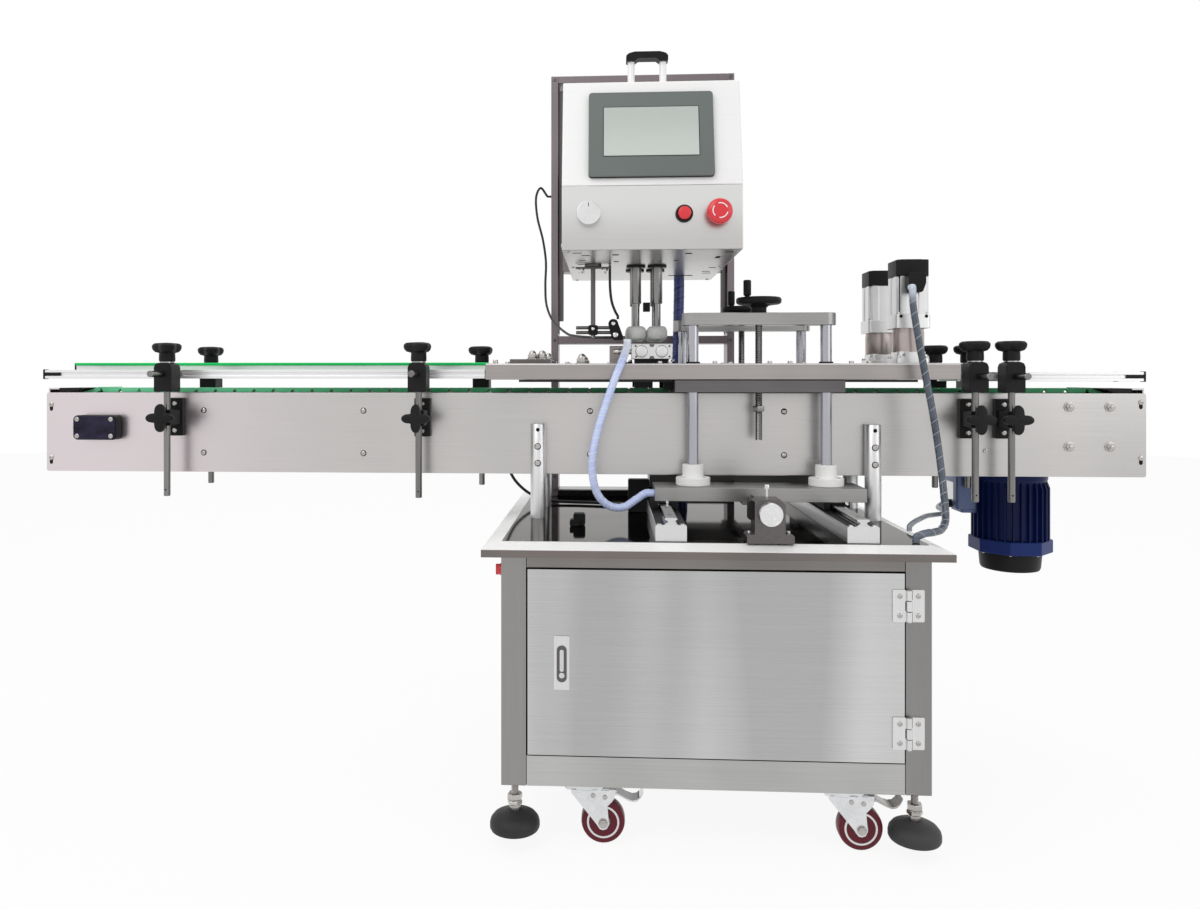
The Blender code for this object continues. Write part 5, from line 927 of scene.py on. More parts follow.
def bed(row, side):
    """The bed plate over its carrier, which is painted darker for shade and parted from it by a painted shadow
    line, with its fasteners, its belt and the motor that drives it.
    """
    body = f"bed_{row}"
    near, far = side * BED_Y[0], side * BED_Y[1]
    plate = Shape().box(BED_X, (near, far), (BED_UNDER, BED_TOP))
    show(f"bed_top_{row}", plate, BED_STEEL, body, 0.0014, (f"bed_plate_{row}",))
    # A thin near-white chamfer along the plate's outer top edge: a painted highlight.
    edge = Shape().prism([(far - side * 0.0016, BED_TOP - 0.0003), (far + side * 0.0002, BED_TOP - 0.002),
                          (far + side * 0.0002, BED_TOP - 0.0014), (far - side * 0.0014, BED_TOP + 0.0002)], "X",
                         -0.164, 0.677)
    show(f"bed_edge_{row}", edge, BEVEL_HIGHLIGHT, body)
    # The carrier takes the painted shade steel: darker for the shade under the bed plate.
    carrier = Shape().box(CARRIER_X, (side * 0.06, side * 0.1262), (CARRIER_LOW, BED_UNDER - 0.001))
    show(f"bed_carrier_{row}", carrier, PAINTED_SHADE_STEEL, body, 0.0008)
    # A thin black strip between carrier and plate is a painted shadow line; the two boxes below it are black
    # blocks.
    shadow_and_blocks = Shape().box((0.1776, 0.4774), (side * 0.062, side * 0.1245), (0.7415, 0.744))
    for low, high, z in ((0.106, 0.14, 0.7275), (0.16, 0.1768, 0.724)):
        shadow_and_blocks.box((low, high), (side * 0.0625, side * 0.07), (z, 0.744))
    show(f"bed_shadow_and_blocks_{row}", shadow_and_blocks, BLACK, body)
    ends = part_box(f"grip_belt_{row}")
    belt = Shape().plate((ends[0].x, ends[1].x), (ends[0].y, ends[1].y), 0.01, "Z", 0.7385, 0.7427, 6)
    show(f"belt_{row}", belt, RUBBER, body, 0, (f"grip_belt_{row}",))
    heads, nuts = shapes(2)
    for x in (0.1507, 0.1686, 0.249, 0.3466, 0.382, 0.49, 0.522):
        heads.socket_screw((x, side * 0.119, BED_TOP), UP, 0.0042, 0.0045)
    for x in (-0.02, 0.06, 0.285, 0.42, 0.538):
        heads.socket_screw((x, side * 0.056, BED_TOP), UP, 0.0042, 0.0045)
    for x in (-0.0824, -0.0645, 0.0092):
        nuts.acorn((x, side * 0.088, BED_TOP + (0.0085 if x < 0 else 0.0)), 0.0088 if x < 0 else 0.01)
    heads.socket_screw((-0.15, side * 0.1, BED_TOP), UP, 0.0048, 0.0075)
    show(f"bed_fasteners_{row}", heads, SCREW_STEEL, body)
    show(f"bed_nuts_{row}", nuts, SCREW_STEEL, body)
    block = Shape().plate((-0.1225, -0.048), (side * 0.072, side * 0.112), 0.002, "Z", BED_TOP, BED_TOP + 0.0085)
    show(f"bed_block_{row}", block, DARK_STEEL, body, 0.0006)
    side_motor(row, side)


def side_motor(row, side):
    """The square motor on its gearbox, which drives the gripping belt."""
    x, y, base, body = SIDE_MOTOR_X - 0.003, side * SIDE_MOTOR_Y, BED_TOP + 0.0003, f"bed_{row}"
    light, brown, black, bolts, grooves = shapes(5)
    light.plate(span(x, 0.058), span(y, 0.062), 0.006, "Z", base, base + 0.009)
    light.plate(span(x, 0.05), span(y, 0.052), 0.01, "Z", base + 0.008, base + 0.021)
    brown.lathe(mm((27.2, 20.5), (27.5, 21.5), (27.5, 57), (26.6, 57.4), (26.6, 61), (27.5, 61.4), (27.5, 63.4)),
                (x, y, base), UP, 56)
    light.plate(span(x, 0.06), span(y, 0.062), 0.005, "Z", 0.835, 0.86)
    outline = []
    for quarter in range(4):
        for a, b in ((-0.0285, 0.022), (-0.022, 0.022), (-0.022, 0.0285), (-0.01, 0.0285), (-0.0094, 0.0272),
                     (0.0094, 0.0272), (0.01, 0.0285), (0.022, 0.0285)):
            turn = Matrix.Rotation(-quarter * math.pi / 2, 2)
            point = turn @ Vector((a, b))
            outline.append((x + point.x, y + point.y))
    light.prism(outline, "Z", 0.8595, 0.928)
    for a in (-0.0222, 0.0222):
        grooves.box(span(x + a, 0.0016), (y + side * 0.0218, y + side * 0.0226), (0.861, 0.9275))
        grooves.lathe(mm((3, 0), (3, 0.5)), (x + a, y + side * 0.031, 0.856), (0, side, 0), 20)
    black.plate(span(x, 0.057), span(y, 0.057), 0.0055, "Z", 0.9278, 0.9575)
    black.plate(span(x, 0.04), span(y, 0.04), 0.004, "Z", 0.957, 0.959)
    plug = [(x - 0.015, 0.928), (x - 0.015, 0.913), (x - 0.011, 0.899), (x - 0.009, 0.897), (x + 0.007, 0.897),
            (x + 0.01, 0.899), (x + 0.015, 0.913), (x + 0.015, 0.928), (x + 0.012, 0.932), (x - 0.012, 0.932)]
    black.prism(plug, "Y", y + side * 0.028, y + side * 0.0515)
    for a, b in ((-0.0245, -0.0265), (0.0245, -0.0265), (-0.0245, 0.0265), (0.0245, 0.0265)):
        bolts.socket_screw((x + a, y + b, base + 0.009), UP, 0.0034, 0.004)
        bolts.socket_screw((x + a, y + b, 0.86), UP, 0.0028, 0.0036)
    for a in (-0.016, 0.016):
        bolts.socket_screw((x + a, y + side * 0.026, base + 0.015), (0, side, 0), 0.0028, 0.0018)
    show(f"motor_frame_{row}", light, ALUMINIUM, body, 0.0007, (f"side_motor_{row}",))
    # The frame's grooves and holes are thin dark sheets: painted shade.
    show(f"motor_grooves_{row}", grooves, RECESS_SHADE_AND_MARKS, body)
    show(f"motor_gear_{row}", brown, GEAR_BROWN, body)
    show(f"motor_cap_{row}", black, BLACK, body, 0.0012)
    show(f"motor_screws_{row}", bolts, SCREW_STEEL, body)


def columns(row, side):
    """The yoke on its two columns, the lifting screw with its handwheel, and the cross slide below."""
    body, y = f"slide_{row}", side * POST_Y
    plate = Shape().plate(YOKE_X, span(y, 0.04), 0.0199, "Z", *YOKE_Z, 14)
    show(f"yoke_plate_{row}", plate, GROUND_STEEL, body, 0.0007, (f"yoke_{row}",))
    posts, marks = shapes(2)
    for x in COLUMN_X:
        posts.rod((x, y, SLIDE_TOP), UP, 0.01, 0.2905, 0.0, 40)
        marks.lathe(mm((12.2, 0), (12.6, 0.4), (12.6, 3), (12.2, 3.4)), (x, y, BED_TOP), UP, 40)
    show(f"columns_{row}", posts, COLUMN_CHROME, body)
    show(f"column_seals_{row}", marks, BLACK, f"bed_{row}")
    handwheel(row, y)
    low, near, far = SLIDE_TOP - 0.024, side * SLIDE_Y[0], side * SLIDE_Y[1]
    slab = Shape().box(SLIDE_X, (near, far), (low, SLIDE_TOP))
    slab.box(span(KNOB_X, 0.03), (near, far), (0.5225, low + 0.001))
    # The rear slide takes the painted shade steel, darker for the conveyor's shade over it; the front slide keeps
    # the ground steel.
    show(f"slide_plate_{row}", slab, GROUND_STEEL if side < 0 else PAINTED_SHADE_STEEL, body, 0.0006,
         (f"cross_slide_{row}",))
    bushes, flange_screws = shapes(2)
    for x in COLUMN_X:
        bushes.lathe(mm((29.5, 0), (30.8, 1.2), (30.8, 13.4), (29.6, 14.8), (20, 15), (19, 16), (19, 36.8),
                        (18, 37.9), (10.6, 37.9)), (x, y, SLIDE_TOP), UP, 48)
        for angle in FLANGE_ANGLES:
            flange_screws.socket_screw((x + 0.025 * math.cos(angle), y + 0.025 * math.sin(angle),
                                        SLIDE_TOP + 0.0149), UP, 0.0028, 0.001)
    show(f"bushes_{row}", bushes, NYLON, body)
    show(f"bush_screws_{row}", flange_screws, CHROME, body)
    runners, seals, nipples = shapes(3)
    for x in TRACK_X:
        for inside in (-1, 1):
            edge = x + inside * 0.022
            runners.box((edge, x + inside * 0.0107), (near + side * 0.003, far - side * 0.003),
                        (0.5146, low + 0.0005))
        half = [(x - 0.0224, 0.5146), (x - 0.0112, 0.5146), (x - 0.0112, 0.5246), (x + 0.0112, 0.5246),
                (x + 0.0112, 0.5146), (x + 0.0224, 0.5146), (x + 0.0224, low - 0.0003), (x - 0.0224, low - 0.0003)]
        for end, way in ((near, -side), (far, side)):
            seals.prism(half, "Y", end, end - way * 0.003)
            nipple = Vector((x + 0.0045 + (0.012 if x > 0.3 else 0), end - way * 0.0005, 0.5262))
            nipples.lathe(mm((2.6, 0), (2.6, 2), (1.8, 2.6), (1.8, 4), (2.5, 4.8), (2, 6.4)), nipple, (0, way, 0),
                          18)
    show(f"runners_{row}", runners, BLACK, body, 0.0006)
    show(f"runner_seals_{row}", seals, BLACK, body, 0.0003)
    show(f"grease_nipples_{row}", nipples, CHROME, body)


def handwheel(row, y):
    """The dished wheel with its crank, on the lifting screw."""
    body, low = f"lift_wheel_{row}", HANDWHEEL_LOW
    wheel = Shape().lathe(mm((12.8, 0), (14, 0.8), (14, 9.5), (18, 13), (29, 15.2), (37, 16), (39.6, 18),
                             (40.5, 21.5), (40, 25.5), (38, 27.6), (35.5, 27.6), (33, 25.5), (30, 22.6), (18, 22.2),
                             (14, 24), (9, 24.2), (0, 24.2)), (SCREW_X, y, low), UP, 64)
    crank_x = SCREW_X - CRANK_REACH
    wheel.lathe(mm((4.5, 22.5), (4.5, 31), (6.6, 32.2), (7, 34), (7, 58), (6.4, 59.4), (4.5, 60), (0, 60)),
                (crank_x, y, low), UP, 32)
    show(f"wheel_{row}", wheel, BLACK, body, 0, (f"handwheel_{row}",))
    screw = Shape().threaded((SCREW_X, y, 0.634), UP, 0.0065, 0.23, 0.0032)
    screw.hexagon((SCREW_X, y, 0.6855), UP, 0.011, 0.01, 0.2)
    show(f"lift_screw_{row}", screw, BRUSHED_ROD, body)
    nut = Shape().lathe(mm((9.5, 0), (9.5, 1.8), (8.5, 2.4)), (SCREW_X, y, low + 0.024), UP, 6)
    show(f"wheel_nut_{row}", nut, CHROME, body)


def clamp_block():
    """The twin-piston block, its base and the air fitting."""
    x, y, z = CLAMP_X, CLAMP_Y, CLAMP_Z
    block = Shape().plate(x, z, 0.002, "Y", *y)
    show("clamp_body", block, ALUMINIUM, "bed_front", 0.0006, ("clamp_cylinder",))
    caps, rings, base, brass = shapes(4)
    middle, centre = sum(z) / 2, sum(x) / 2
    for cx in (x[0] + 0.018, x[1] - 0.019):
        rings.lathe(mm((11.2, 0), (11.2, 0.6)), (cx, y[0], middle), FRONT, 40)
        caps.lathe(mm((10.2, 0), (10.2, 1.2), (9.6, 1.5)), (cx, y[0], middle), FRONT, 40)
    for cx, cz in ((0.1075, 0.8045), (0.169, 0.804), (0.169, 0.785), (0.1085, 0.7848)):
        rings.lathe(mm((2, 0), (2, 0.4)), (cx, y[0], cz), FRONT, 16)
    for cz, way in ((z[1], -1), (z[0], 1)):
        notch = [(centre - 0.005, cz + way * 0.0004), (centre + 0.005, cz + way * 0.0004),
                 (centre + 0.003, cz + way * 0.0052), (centre - 0.003, cz + way * 0.0052)]
        rings.prism(notch, "Y", y[0] - 0.0004, y[0] + 0.001)
    base.box((x[0] + 0.006, x[1] - 0.006), (y[0] + 0.004, y[1]), (BED_TOP + 0.0003, z[0] + 0.001))
    for cx in (x[0] - 0.006, x[1] - 0.002):
        base.box((cx, cx + 0.008), (y[0] + 0.01, y[1] - 0.006), (BED_TOP + 0.0003, BED_TOP + 0.0045))
    fitting = Vector((x[0], y[0] + 0.012, middle))
    brass.lathe(mm((5, 0), (5, 5), (3.5, 5.6), (3.5, 9), (5.5, 9.4), (5.5, 24), (4.6, 25), (4, 33)), fitting, LEFT,
                24)
    brass.hexagon(fitting + LEFT * 0.004, LEFT, 0.0056, 0.005)
    for cx in (x[0] - 0.002, x[1] + 0.002):
        brass.socket_screw((cx, y[0] + 0.018, BED_TOP + 0.004), UP, 0.0034, 0.004)
    show("piston_caps", caps, ALUMINIUM, "bed_front")
    show("piston_rings", rings, DARK_STEEL, "bed_front")
    show("clamp_base", base, BLACK, "bed_front", 0.0005)
    show("air_fitting", brass, SCREW_STEEL, "bed_front")
    brown = Shape().box((0.06, 0.089), (0.04, 0.046), (BED_TOP, 0.81))
    brown.box((0.06, 0.0985), (0.046, 0.072), (BED_TOP, BED_TOP + 0.006))
    show("cap_stop_bracket", brown, BED_STEEL, "bed_rear", 0.0006)


# Head

def gantry():
    """The frame behind the head, with the runners that its carriage slides on."""
    (x0, x1), y, post = GANTRY_X, GANTRY_Y, GANTRY_POST
    frame_shape, runners = shapes(2)
    for x in ((x0, x0 + post), (x1 - post, x1)):
        frame_shape.box(x, y, (0.4863, GANTRY_TOP))
    for z in ((0.8215, 0.8385), (1.3955, GANTRY_TOP)):
        frame_shape.box((x0 + post, x1 - post), (y[0] + 0.0004, y[1] - 0.0004), z)
    show("gantry_frame", frame_shape, POST_STEEL, "root", 0.0012, ("gantry",))
    grooves = Shape()
    for x, way in ((x0 + post, 1), (x1 - post, -1)):
        runners.box((x, x + way * 0.01), (0.251, 0.269), (0.873, 1.385))
        for level in (0.256, 0.264):
            grooves.box((x + way * 0.0098, x + way * 0.0103), span(level, 0.0022), (0.876, 1.382))
        for depth in ((0.236, 0.249), (0.271, 0.285)):
            grooves.box((x - way * 0.0004, x + way * 0.0006), depth, (0.845, 1.39))
    show("gantry_runners", runners, DARK_STEEL, "root", 0.0005)
    # The grooves in the posts and runners are thin dark strips: painted shade.
    show("gantry_grooves", grooves, RECESS_SHADE_AND_MARKS)
    screws = Shape()
    for x in (x0 + post / 2, x1 - post / 2):
        for z in (0.83, 1.4032, 0.5, 0.53):
            screws.socket_screw((x, y[0], z), FRONT, 0.0042, 0.0014)
    show("gantry_screws", screws, DARK_STEEL)


# Middle, width and depth of each slot under the head
UNDERSIDE_SLOTS = ((0.004, -0.215, 0.016, 0.004), (0.018, -0.185, 0.014, 0.004), (0.01, -0.12, 0.012, 0.004),
                   (0.006, -0.06, 0.012, 0.003), (0.004, 0.01, 0.012, 0.003), (0.004, 0.06, 0.012, 0.003),
                   (0.07, -0.19, 0.012, 0.01), (0.072, -0.1, 0.01, 0.008), (0.195, -0.2, 0.012, 0.009),
                   (0.18, -0.11, 0.01, 0.006), (0.25, -0.15, 0.008, 0.024), (0.262, -0.215, 0.016, 0.004),
                   (0.258, 0.0, 0.014, 0.004), (0.252, 0.06, 0.016, 0.004), (0.256, 0.09, 0.018, 0.004),
                   (0.207, 0.13, 0.05, 0.008))


def head():
    """The folded housing: its upright lower face, lighter towards its top by painted light, and the upper part that
    leans back, near white partly from its white coat and partly from a painted highlight.
    """
    (x0, x1), front, back = HOUSING_X, HOUSING_FRONT, HOUSING_BACK
    # The lower face's steel is painted lighter towards its top, where more light falls.
    lower = Shape().prism([(front, HOUSING_BOTTOM), (front, HOUSING_FOLD), (back, HOUSING_FOLD),
                           (back, HOUSING_BOTTOM)], "X", x0, x1)
    show("housing_lower", lower, HEAD_STEEL, "root", 0.0014, ("head_housing",))
    # The leaning face's near-white colour is in part a painted highlight of the lamp above it.
    upper = Shape().prism([(front - 0.0002, HOUSING_FOLD), (front + HOUSING_LEAN, HOUSING_TOP), (back, HOUSING_TOP),
                           (back, HOUSING_FOLD)], "X", x0, x1)
    show("housing_upper", upper, WHITE_COAT_AND_HIGHLIGHT, "root", 0.002)
    carriage = Shape().box((-0.042, 0.306), (back - 0.001, 0.272), (HOUSING_BOTTOM + 0.02, HOUSING_TOP - 0.06))
    show("head_carriage", carriage, POST_STEEL, "root", 0.001)
    sleeves, collars = shapes(2)
    for x, y in SPINDLES.values():
        sleeves.lathe(mm((7.2, 0), (9.4, 0), (10, 0.8), (10, 72)), (x, y, 0.887), UP, 40)
        collars.lathe(mm((18, 0), (18, 3.5)), (x, y, HOUSING_BOTTOM - 0.0036), UP, 40)
    show("spindle_sleeves", sleeves, BRUSHED_ROD)
    show("sleeve_collars", collars, BLACK)
    slots, screws = shapes(2)
    under = HOUSING_BOTTOM - 0.0004
    for x, y, w, d in UNDERSIDE_SLOTS:
        slots.plate(span(x, w), span(y, d), min(w, d) * 0.4, "Z", under, under + 0.0006, 3)
    # The slots under the head are thin dark plates: painted shade in the openings.
    show("underside_slots", slots, RECESS_SHADE_AND_MARKS)
    for x in (x0 + 0.01, x1 - 0.01):
        for y in (-0.235, -0.02, 0.205):
            screws.pan_screw((x, y, HOUSING_BOTTOM), DOWN, 0.0036, 0.0018)
    for x, side in ((x0, LEFT), (x1, RIGHT)):
        for y in (-0.235, 0.0, 0.2):
            for z in (HOUSING_BOTTOM + 0.01, HOUSING_TOP - 0.022):
                if not (y < -0.2 and z > 1.2):
                    screws.pan_screw((x, y, z), side, 0.0036, 0.002)
    show("housing_screws", screws, SCREW_STEEL)
    stop = Shape().box((0.1235, 0.1365), (-0.04, -0.026), (0.872, 0.889))
    show("cap_stop", stop, BLACK, "root", 0.0008)
    handle()
    louvres = Shape()
    for side, x in ((LEFT, x0), (RIGHT, x1)):
        for k in range(LOUVRES):
            louvres.plate((0.04, 0.11), span(1.1 + LOUVRE_PITCH * k, 0.0042), 0.002, "X", x, x + side.x * 0.0003, 3)
    # The louvres are thin dark plates on the sides: painted shade in the vents.
    show("housing_louvres", louvres, RECESS_SHADE_AND_MARKS)


def handle():
    """The handle on top of the head, and the lamp dome."""
    posts, feet, grip, dome = shapes(4)
    low = HOUSING_TOP + 0.1215
    for x in HANDLE_X:
        posts.lathe(mm((7, 0), (7, 123)), (x, HANDLE_Y, HOUSING_TOP), UP, 32)
        feet.lathe(mm((10.5, 0), (10.5, 2.5), (7.5, 4.5)), (x, HANDLE_Y, HOUSING_TOP), UP, 32)
    outline = [(0.093, low), (0.093, low + 0.011), (0.099, low + 0.0155), (0.103, low + 0.0165),
               (0.11, low + 0.0183), (0.159, low + 0.0183), (0.166, low + 0.0165), (0.171, low + 0.015),
               (0.176, low + 0.0105), (0.176, low), (0.159, low - 0.0001), (0.152, low + 0.005),
               (0.117, low + 0.005), (0.11, low - 0.0001)]
    grip.prism(outline, "Y", 0.036, 0.064)
    dome.lathe(mm((21, 0), (21, 3), (19.5, 6.5), (15, 9.8), (8, 11.6), (0, 12)), (0.236, 0.0, HOUSING_TOP), UP, 48)
    show("handle_posts", posts, WHITE_COAT_AND_HIGHLIGHT)
    show("handle_feet", feet, CHROME)
    show("handle_grip", grip, BLACK, "root", 0.002)
    show("lamp_dome", dome, WHITE_COAT_AND_HIGHLIGHT)


def touch_panel():
    """The bezel with its screen, drawn upright and tipped about the fold onto the leaning face."""
    tip = math.atan2(HOUSING_LEAN, HOUSING_TOP - HOUSING_FOLD)
    place = Matrix.Translation((0, HOUSING_FRONT, HOUSING_FOLD)) @ Matrix.Rotation(-tip, 4, "X")
    rows = (("panel_back", rounded(BEZEL_X, BEZEL_Z, 0.006), (-0.0046, -0.0002), BLACK, 0.0006, ("touch_panel",)),
            ("panel_bezel", rounded(BEZEL_X, BEZEL_Z, 0.006), (-0.0082, -0.0044), SLATE, 0.0012, ()),
            ("panel_gasket", rounded((0.0488, 0.2097), (0.0488, 0.1402), 0.001, 2), (-0.0084, -0.0079), RECESS_SHADE_AND_MARKS, 0.0,
             ()), ("panel_screen", rounded((0.05, 0.2085), (0.05, 0.139), 0.0006, 2), (-0.0088, -0.0078), SCREEN,
                   0.0, ()))
    for name, outline, depth, material, bevel, nodes in rows:
        shape = Shape().prism(outline, "Y", *depth)
        bmesh.ops.transform(shape.bm, matrix=place, verts=shape.bm.verts)
        show(name, shape, material, "root", bevel, nodes)


def controls():
    """The emergency stop with its arrows, the start button and the speed dial."""
    face = -HOUSING_FRONT + 0.0003
    stop = (STOP_X, 0, CONTROLS_Z)
    mushroom = Shape().lathe([(0.01, face + 0.0068), (0.01, face + 0.0095), (0.0185, face + 0.0135),
                              (0.0205, face + 0.0165), (0.021, face + 0.0205), (0.0203, face + 0.025),
                              (0.018, face + 0.0276), (0.011, face + 0.0292), (0, face + 0.0297)], stop, FRONT, 56)
    show("stop_mushroom", mushroom, RED, "stop_button", 0, ("emergency_stop",))
    arcs = Shape()
    for k in range(3):
        points = []
        for reach, step in ((0.0128, 1), (0.0112, -1)):
            for i in range(11)[::step]:
                angle = 2 * math.pi * k / 3 + 0.4 + 1.45 * i / 10
                points.append((STOP_X + reach * math.cos(angle), CONTROLS_Z + reach * math.sin(angle)))
        arcs.prism(points, "Y", -face - 0.0294, -face - 0.0282)
    show("stop_arcs", arcs, NYLON, "stop_button")
    collars = Shape().lathe([(0.015, face - 0.0003), (0.015, face + 0.002), (0.0135, face + 0.0032),
                             (0.0118, face + 0.0034), (0.0116, face + 0.0004)], stop, FRONT, 48)
    lamp = (START_X, 0, CONTROLS_Z)
    collars.lathe([(0.0145, face - 0.0003), (0.0145, face + 0.004), (0.0135, face + 0.0062),
                   (0.0114, face + 0.0064), (0.0112, face + 0.0004)], lamp, FRONT, 48)
    show("button_collars", collars, BLACK)
    lens = Shape().lathe([(0.0108, face + 0.0048), (0.0108, face + 0.01), (0.0104, face + 0.013),
                          (0.009, face + 0.0138), (0, face + 0.014)], lamp, FRONT, 48)
    show("start_lens", lens, RED, "start_button", 0, ("push_button",))
    dial = (DIAL_X, 0, CONTROLS_Z)
    knob = Shape().lathe([(0.0196, face + 0.0008), (0.02, face + 0.0016), (0.02, face + 0.018),
                          (0.0192, face + 0.0194), (0.0178, face + 0.0196), (0.0176, face + 0.0192),
                          (0, face + 0.0192)], dial, FRONT, 72)
    show("dial_knob", knob, TURNED, "dial", 0, ("speed_dial",))
    pointer = Shape().plate((0.0244, 0.0256), (CONTROLS_Z + 0.01, CONTROLS_Z + 0.0165), 0.0005, "Y", -face - 0.0194,
                            -face - 0.019, 2)
    show("dial_pointer", pointer, RECESS_SHADE_AND_MARKS, "dial")


def spindle(name, x, y):
    """A capping wheel on its shaft."""
    body = f"spindle_body_{name}"
    wheel = Shape().lathe(mm((9, 0), (12.5, 0), (15.8, 1.2), (18.3, 4.5), (19.4, 9.5), (19.5, 15), (18.6, 20.5),
                             (16, 24.5), (12.5, 26), (7.5, 26)), (x, y, SPINDLE_LOW), UP, 48)
    show(f"cap_wheel_{name}", wheel, CAP_WHEEL, body, 0, (f"spindle_{name}",))
    shaft = Shape().lathe(mm((6.8, 0), (6.8, 130)), (x, y, 0.8425), UP, 32)
    shaft.lathe(mm((5, 0), (6, 0.6), (6, 2), (4.5, 2.4)), (x, y, SPINDLE_LOW), UP, 24)
    show(f"spindle_shaft_{name}", shaft, BRUSHED_ROD, body)


def sensor_arm():
    """The sensor on its cross rods, hanging from a flange under the head."""
    x, y, z, top = SENSOR_X, SENSOR_Y, 0.836, 0.9587
    rods = Shape().rod((x, y, 0.825), UP, 0.0045, top - 0.825, 0.0006)
    for level in (z - 0.0045, z + 0.0045):
        rods.rod((x - 0.032, y, level), RIGHT, 0.0032, 0.07, 0.0004, 20)
    show("sensor_rods", rods, DARK_STEEL, "root", 0, ("sensor_arm",))
    flange = Shape().lathe(mm((16, 0), (16, 3.4), (15.4, 4)), (x, y, top), DOWN, 40)
    flange.box((x - 0.033, x + 0.033), (y - 0.004, y + 0.004), (top - 0.0075, top - 0.004))
    show("sensor_flange", flange, DARK_STEEL, "root", 0.0004)
    nuts = Shape()
    for dx in (-0.022, 0.022):
        nuts.hexagon((x + dx, y, top - 0.012), UP, 0.0056, 0.0046)
        nuts.rod((x + dx, y, top - 0.0165), UP, 0.0026, 0.012, 0.0004, 16)
    nuts.lathe(mm((4.5, 0), (3, 3), (0, 3.6)), (x, y, 0.8252), DOWN, 20)
    nuts.pan_screw((x, y - 0.01, z + 0.002), FRONT, 0.003, 0.0016)
    clamp = Shape().plate(span(x, 0.018), span(z, 0.018), 0.003, "Y", y - 0.01, y + 0.01)
    head_x = 0.064
    outline = []
    for k in range(9):
        angle = math.pi * k / 8
        outline.append((head_x + 0.007 + 0.0095 * math.cos(angle) - 0.004, 0.847 + 0.0095 * math.sin(angle)))
    outline += [(head_x - 0.003, 0.833), (head_x, 0.82), (head_x + 0.004, 0.817), (head_x + 0.02, 0.8175),
                (head_x + 0.0215, 0.823), (head_x + 0.016, 0.838)]
    clamp.prism(outline, "Y", y - 0.011, y + 0.011)
    show("sensor_head", clamp, BLACK, "root", 0.0012)
    nuts.pan_screw((head_x + 0.003, y - 0.011, 0.8478), FRONT, 0.0036, 0.0016)
    nuts.pan_screw((head_x + 0.007, y - 0.011, 0.8265), FRONT, 0.005, 0.0022)
    show("sensor_screws", nuts, CHROME)


# Cords, on the routes of their CAD solids

ROUTES = {
    "air_hose": mm((92.2, -108.2, 816.5), (92.2, -108.2, 805), (87, -123, 789), (81.5, -138, 774),
                   (71.3, -149, 750), (55.3, -155, 705.4), (41.2, -160, 661.3), (32.5, -164, 622.9),
                   (29, -165, 591.2), (32.5, -164, 559.5), (43, -160, 534), (62.4, -154, 518.5), (85.4, -148, 517),
                   (106, -142, 529), (125, -139, 541), (139.6, -139, 541)),
    "motor_cable": mm((588, -137.6, 905), (588, -146, 905), (587, -153, 870), (594, -160, 810), (602, -165, 758),
                      (611, -170, 703), (617.7, -176, 650), (620.8, -187, 600), (620, -205, 550), (610, -240, 516),
                      (592, -272, 503), (572, -291, 501), (556, -300, 500.5), (541, -304, 495), (541, -304, 486.8)),
    "sensor_cable": mm((60.5, -50, 958.3), (60.5, -50, 945), (61, -50.5, 915), (64, -52, 890), (70.2, -54.5, 872),
                       (75.5, -56, 862), (75.5, -56, 856.5)),
    "frame_cable": mm((-68.6, 250, 1150), (-77, 250, 1150), (-92, 243, 1168), (-101.9, 236, 1145),
                      (-98.5, 231, 1100), (-86, 226, 1050), (-79, 221, 1000), (-79.5, 210, 950), (-76, 195, 905),
                      (-59, 150, 866.8), (-28.2, 80, 837.8), (-8.5, 40, 829.8), (28.3, -20, 824), (54, -56, 822.2),
                      (64.2, -56, 822.2)),
    "bed_cable": mm((-165, 63.5, 600), (-165, 73, 600), (-160, 97, 588), (-152, 110, 565), (-135, 115, 532),
                    (-105, 115, 506), (-65, 113, 492.5), (-20, 108, 490), (30, 100, 490), (80, 84, 490),
                    (108, 64, 490.5), (116, 52, 492), (116, 52, 486.8)),
    "belt_motor_cable": mm((761.7, 150, 488), (748, 150, 488), (730, 130, 482), (718, 60, 484.7), (690, 0, 488),
                           (663.9, -40, 492), (628, -100, 498.5), (602, -145, 500.5), (582, -172, 498.5),
                           (571, -181, 492), (571, -181, 484.4)),
    "rear_hose": mm((207, 165, 958.3), (207, 165, 930), (206, 165, 880), (204.5, 165, 820), (203, 167, 770),
                    (203, 172, 700), (206, 182, 620), (212, 195, 560), (217, 204, 510), (217, 204, 486.8)),
}
# Name, diameter, body, finish, stiffness, lay
CORDS = (
    ("air_hose", 0.014, "bed_front", HOSE_BLUE, "medium", "hanging"),
    ("motor_cable", 0.012, "bed_front", SLEEVE_GREY, "medium", "hanging"),
    ("sensor_cable", 0.005, "root", CABLE, "medium", "hanging"),
    ("frame_cable", 0.005, "root", CABLE, "medium", "hanging"),
    ("bed_cable", 0.006, "root", CABLE, "medium", "loose"),
    ("belt_motor_cable", 0.009, "root", CONDUIT, "medium", "loose"),
    ("rear_hose", 0.022, "root", HOSE_NAVY, "stiff", "hanging"),
)
# Radius of the spiral, its thickness and pitch, and its finish
WRAPS = {
    "air_hose": (0.007, 0.00055, 0.0135, WRAP_WHITE),
    "motor_cable": (0.006, 0.0005, 0.021, WRAP_GREY),
    "rear_hose": (0.0109, 0.0007, 0.024, NAVY),
}
WRAP_STEPS, WRAP_MARGIN = 14, 0.008


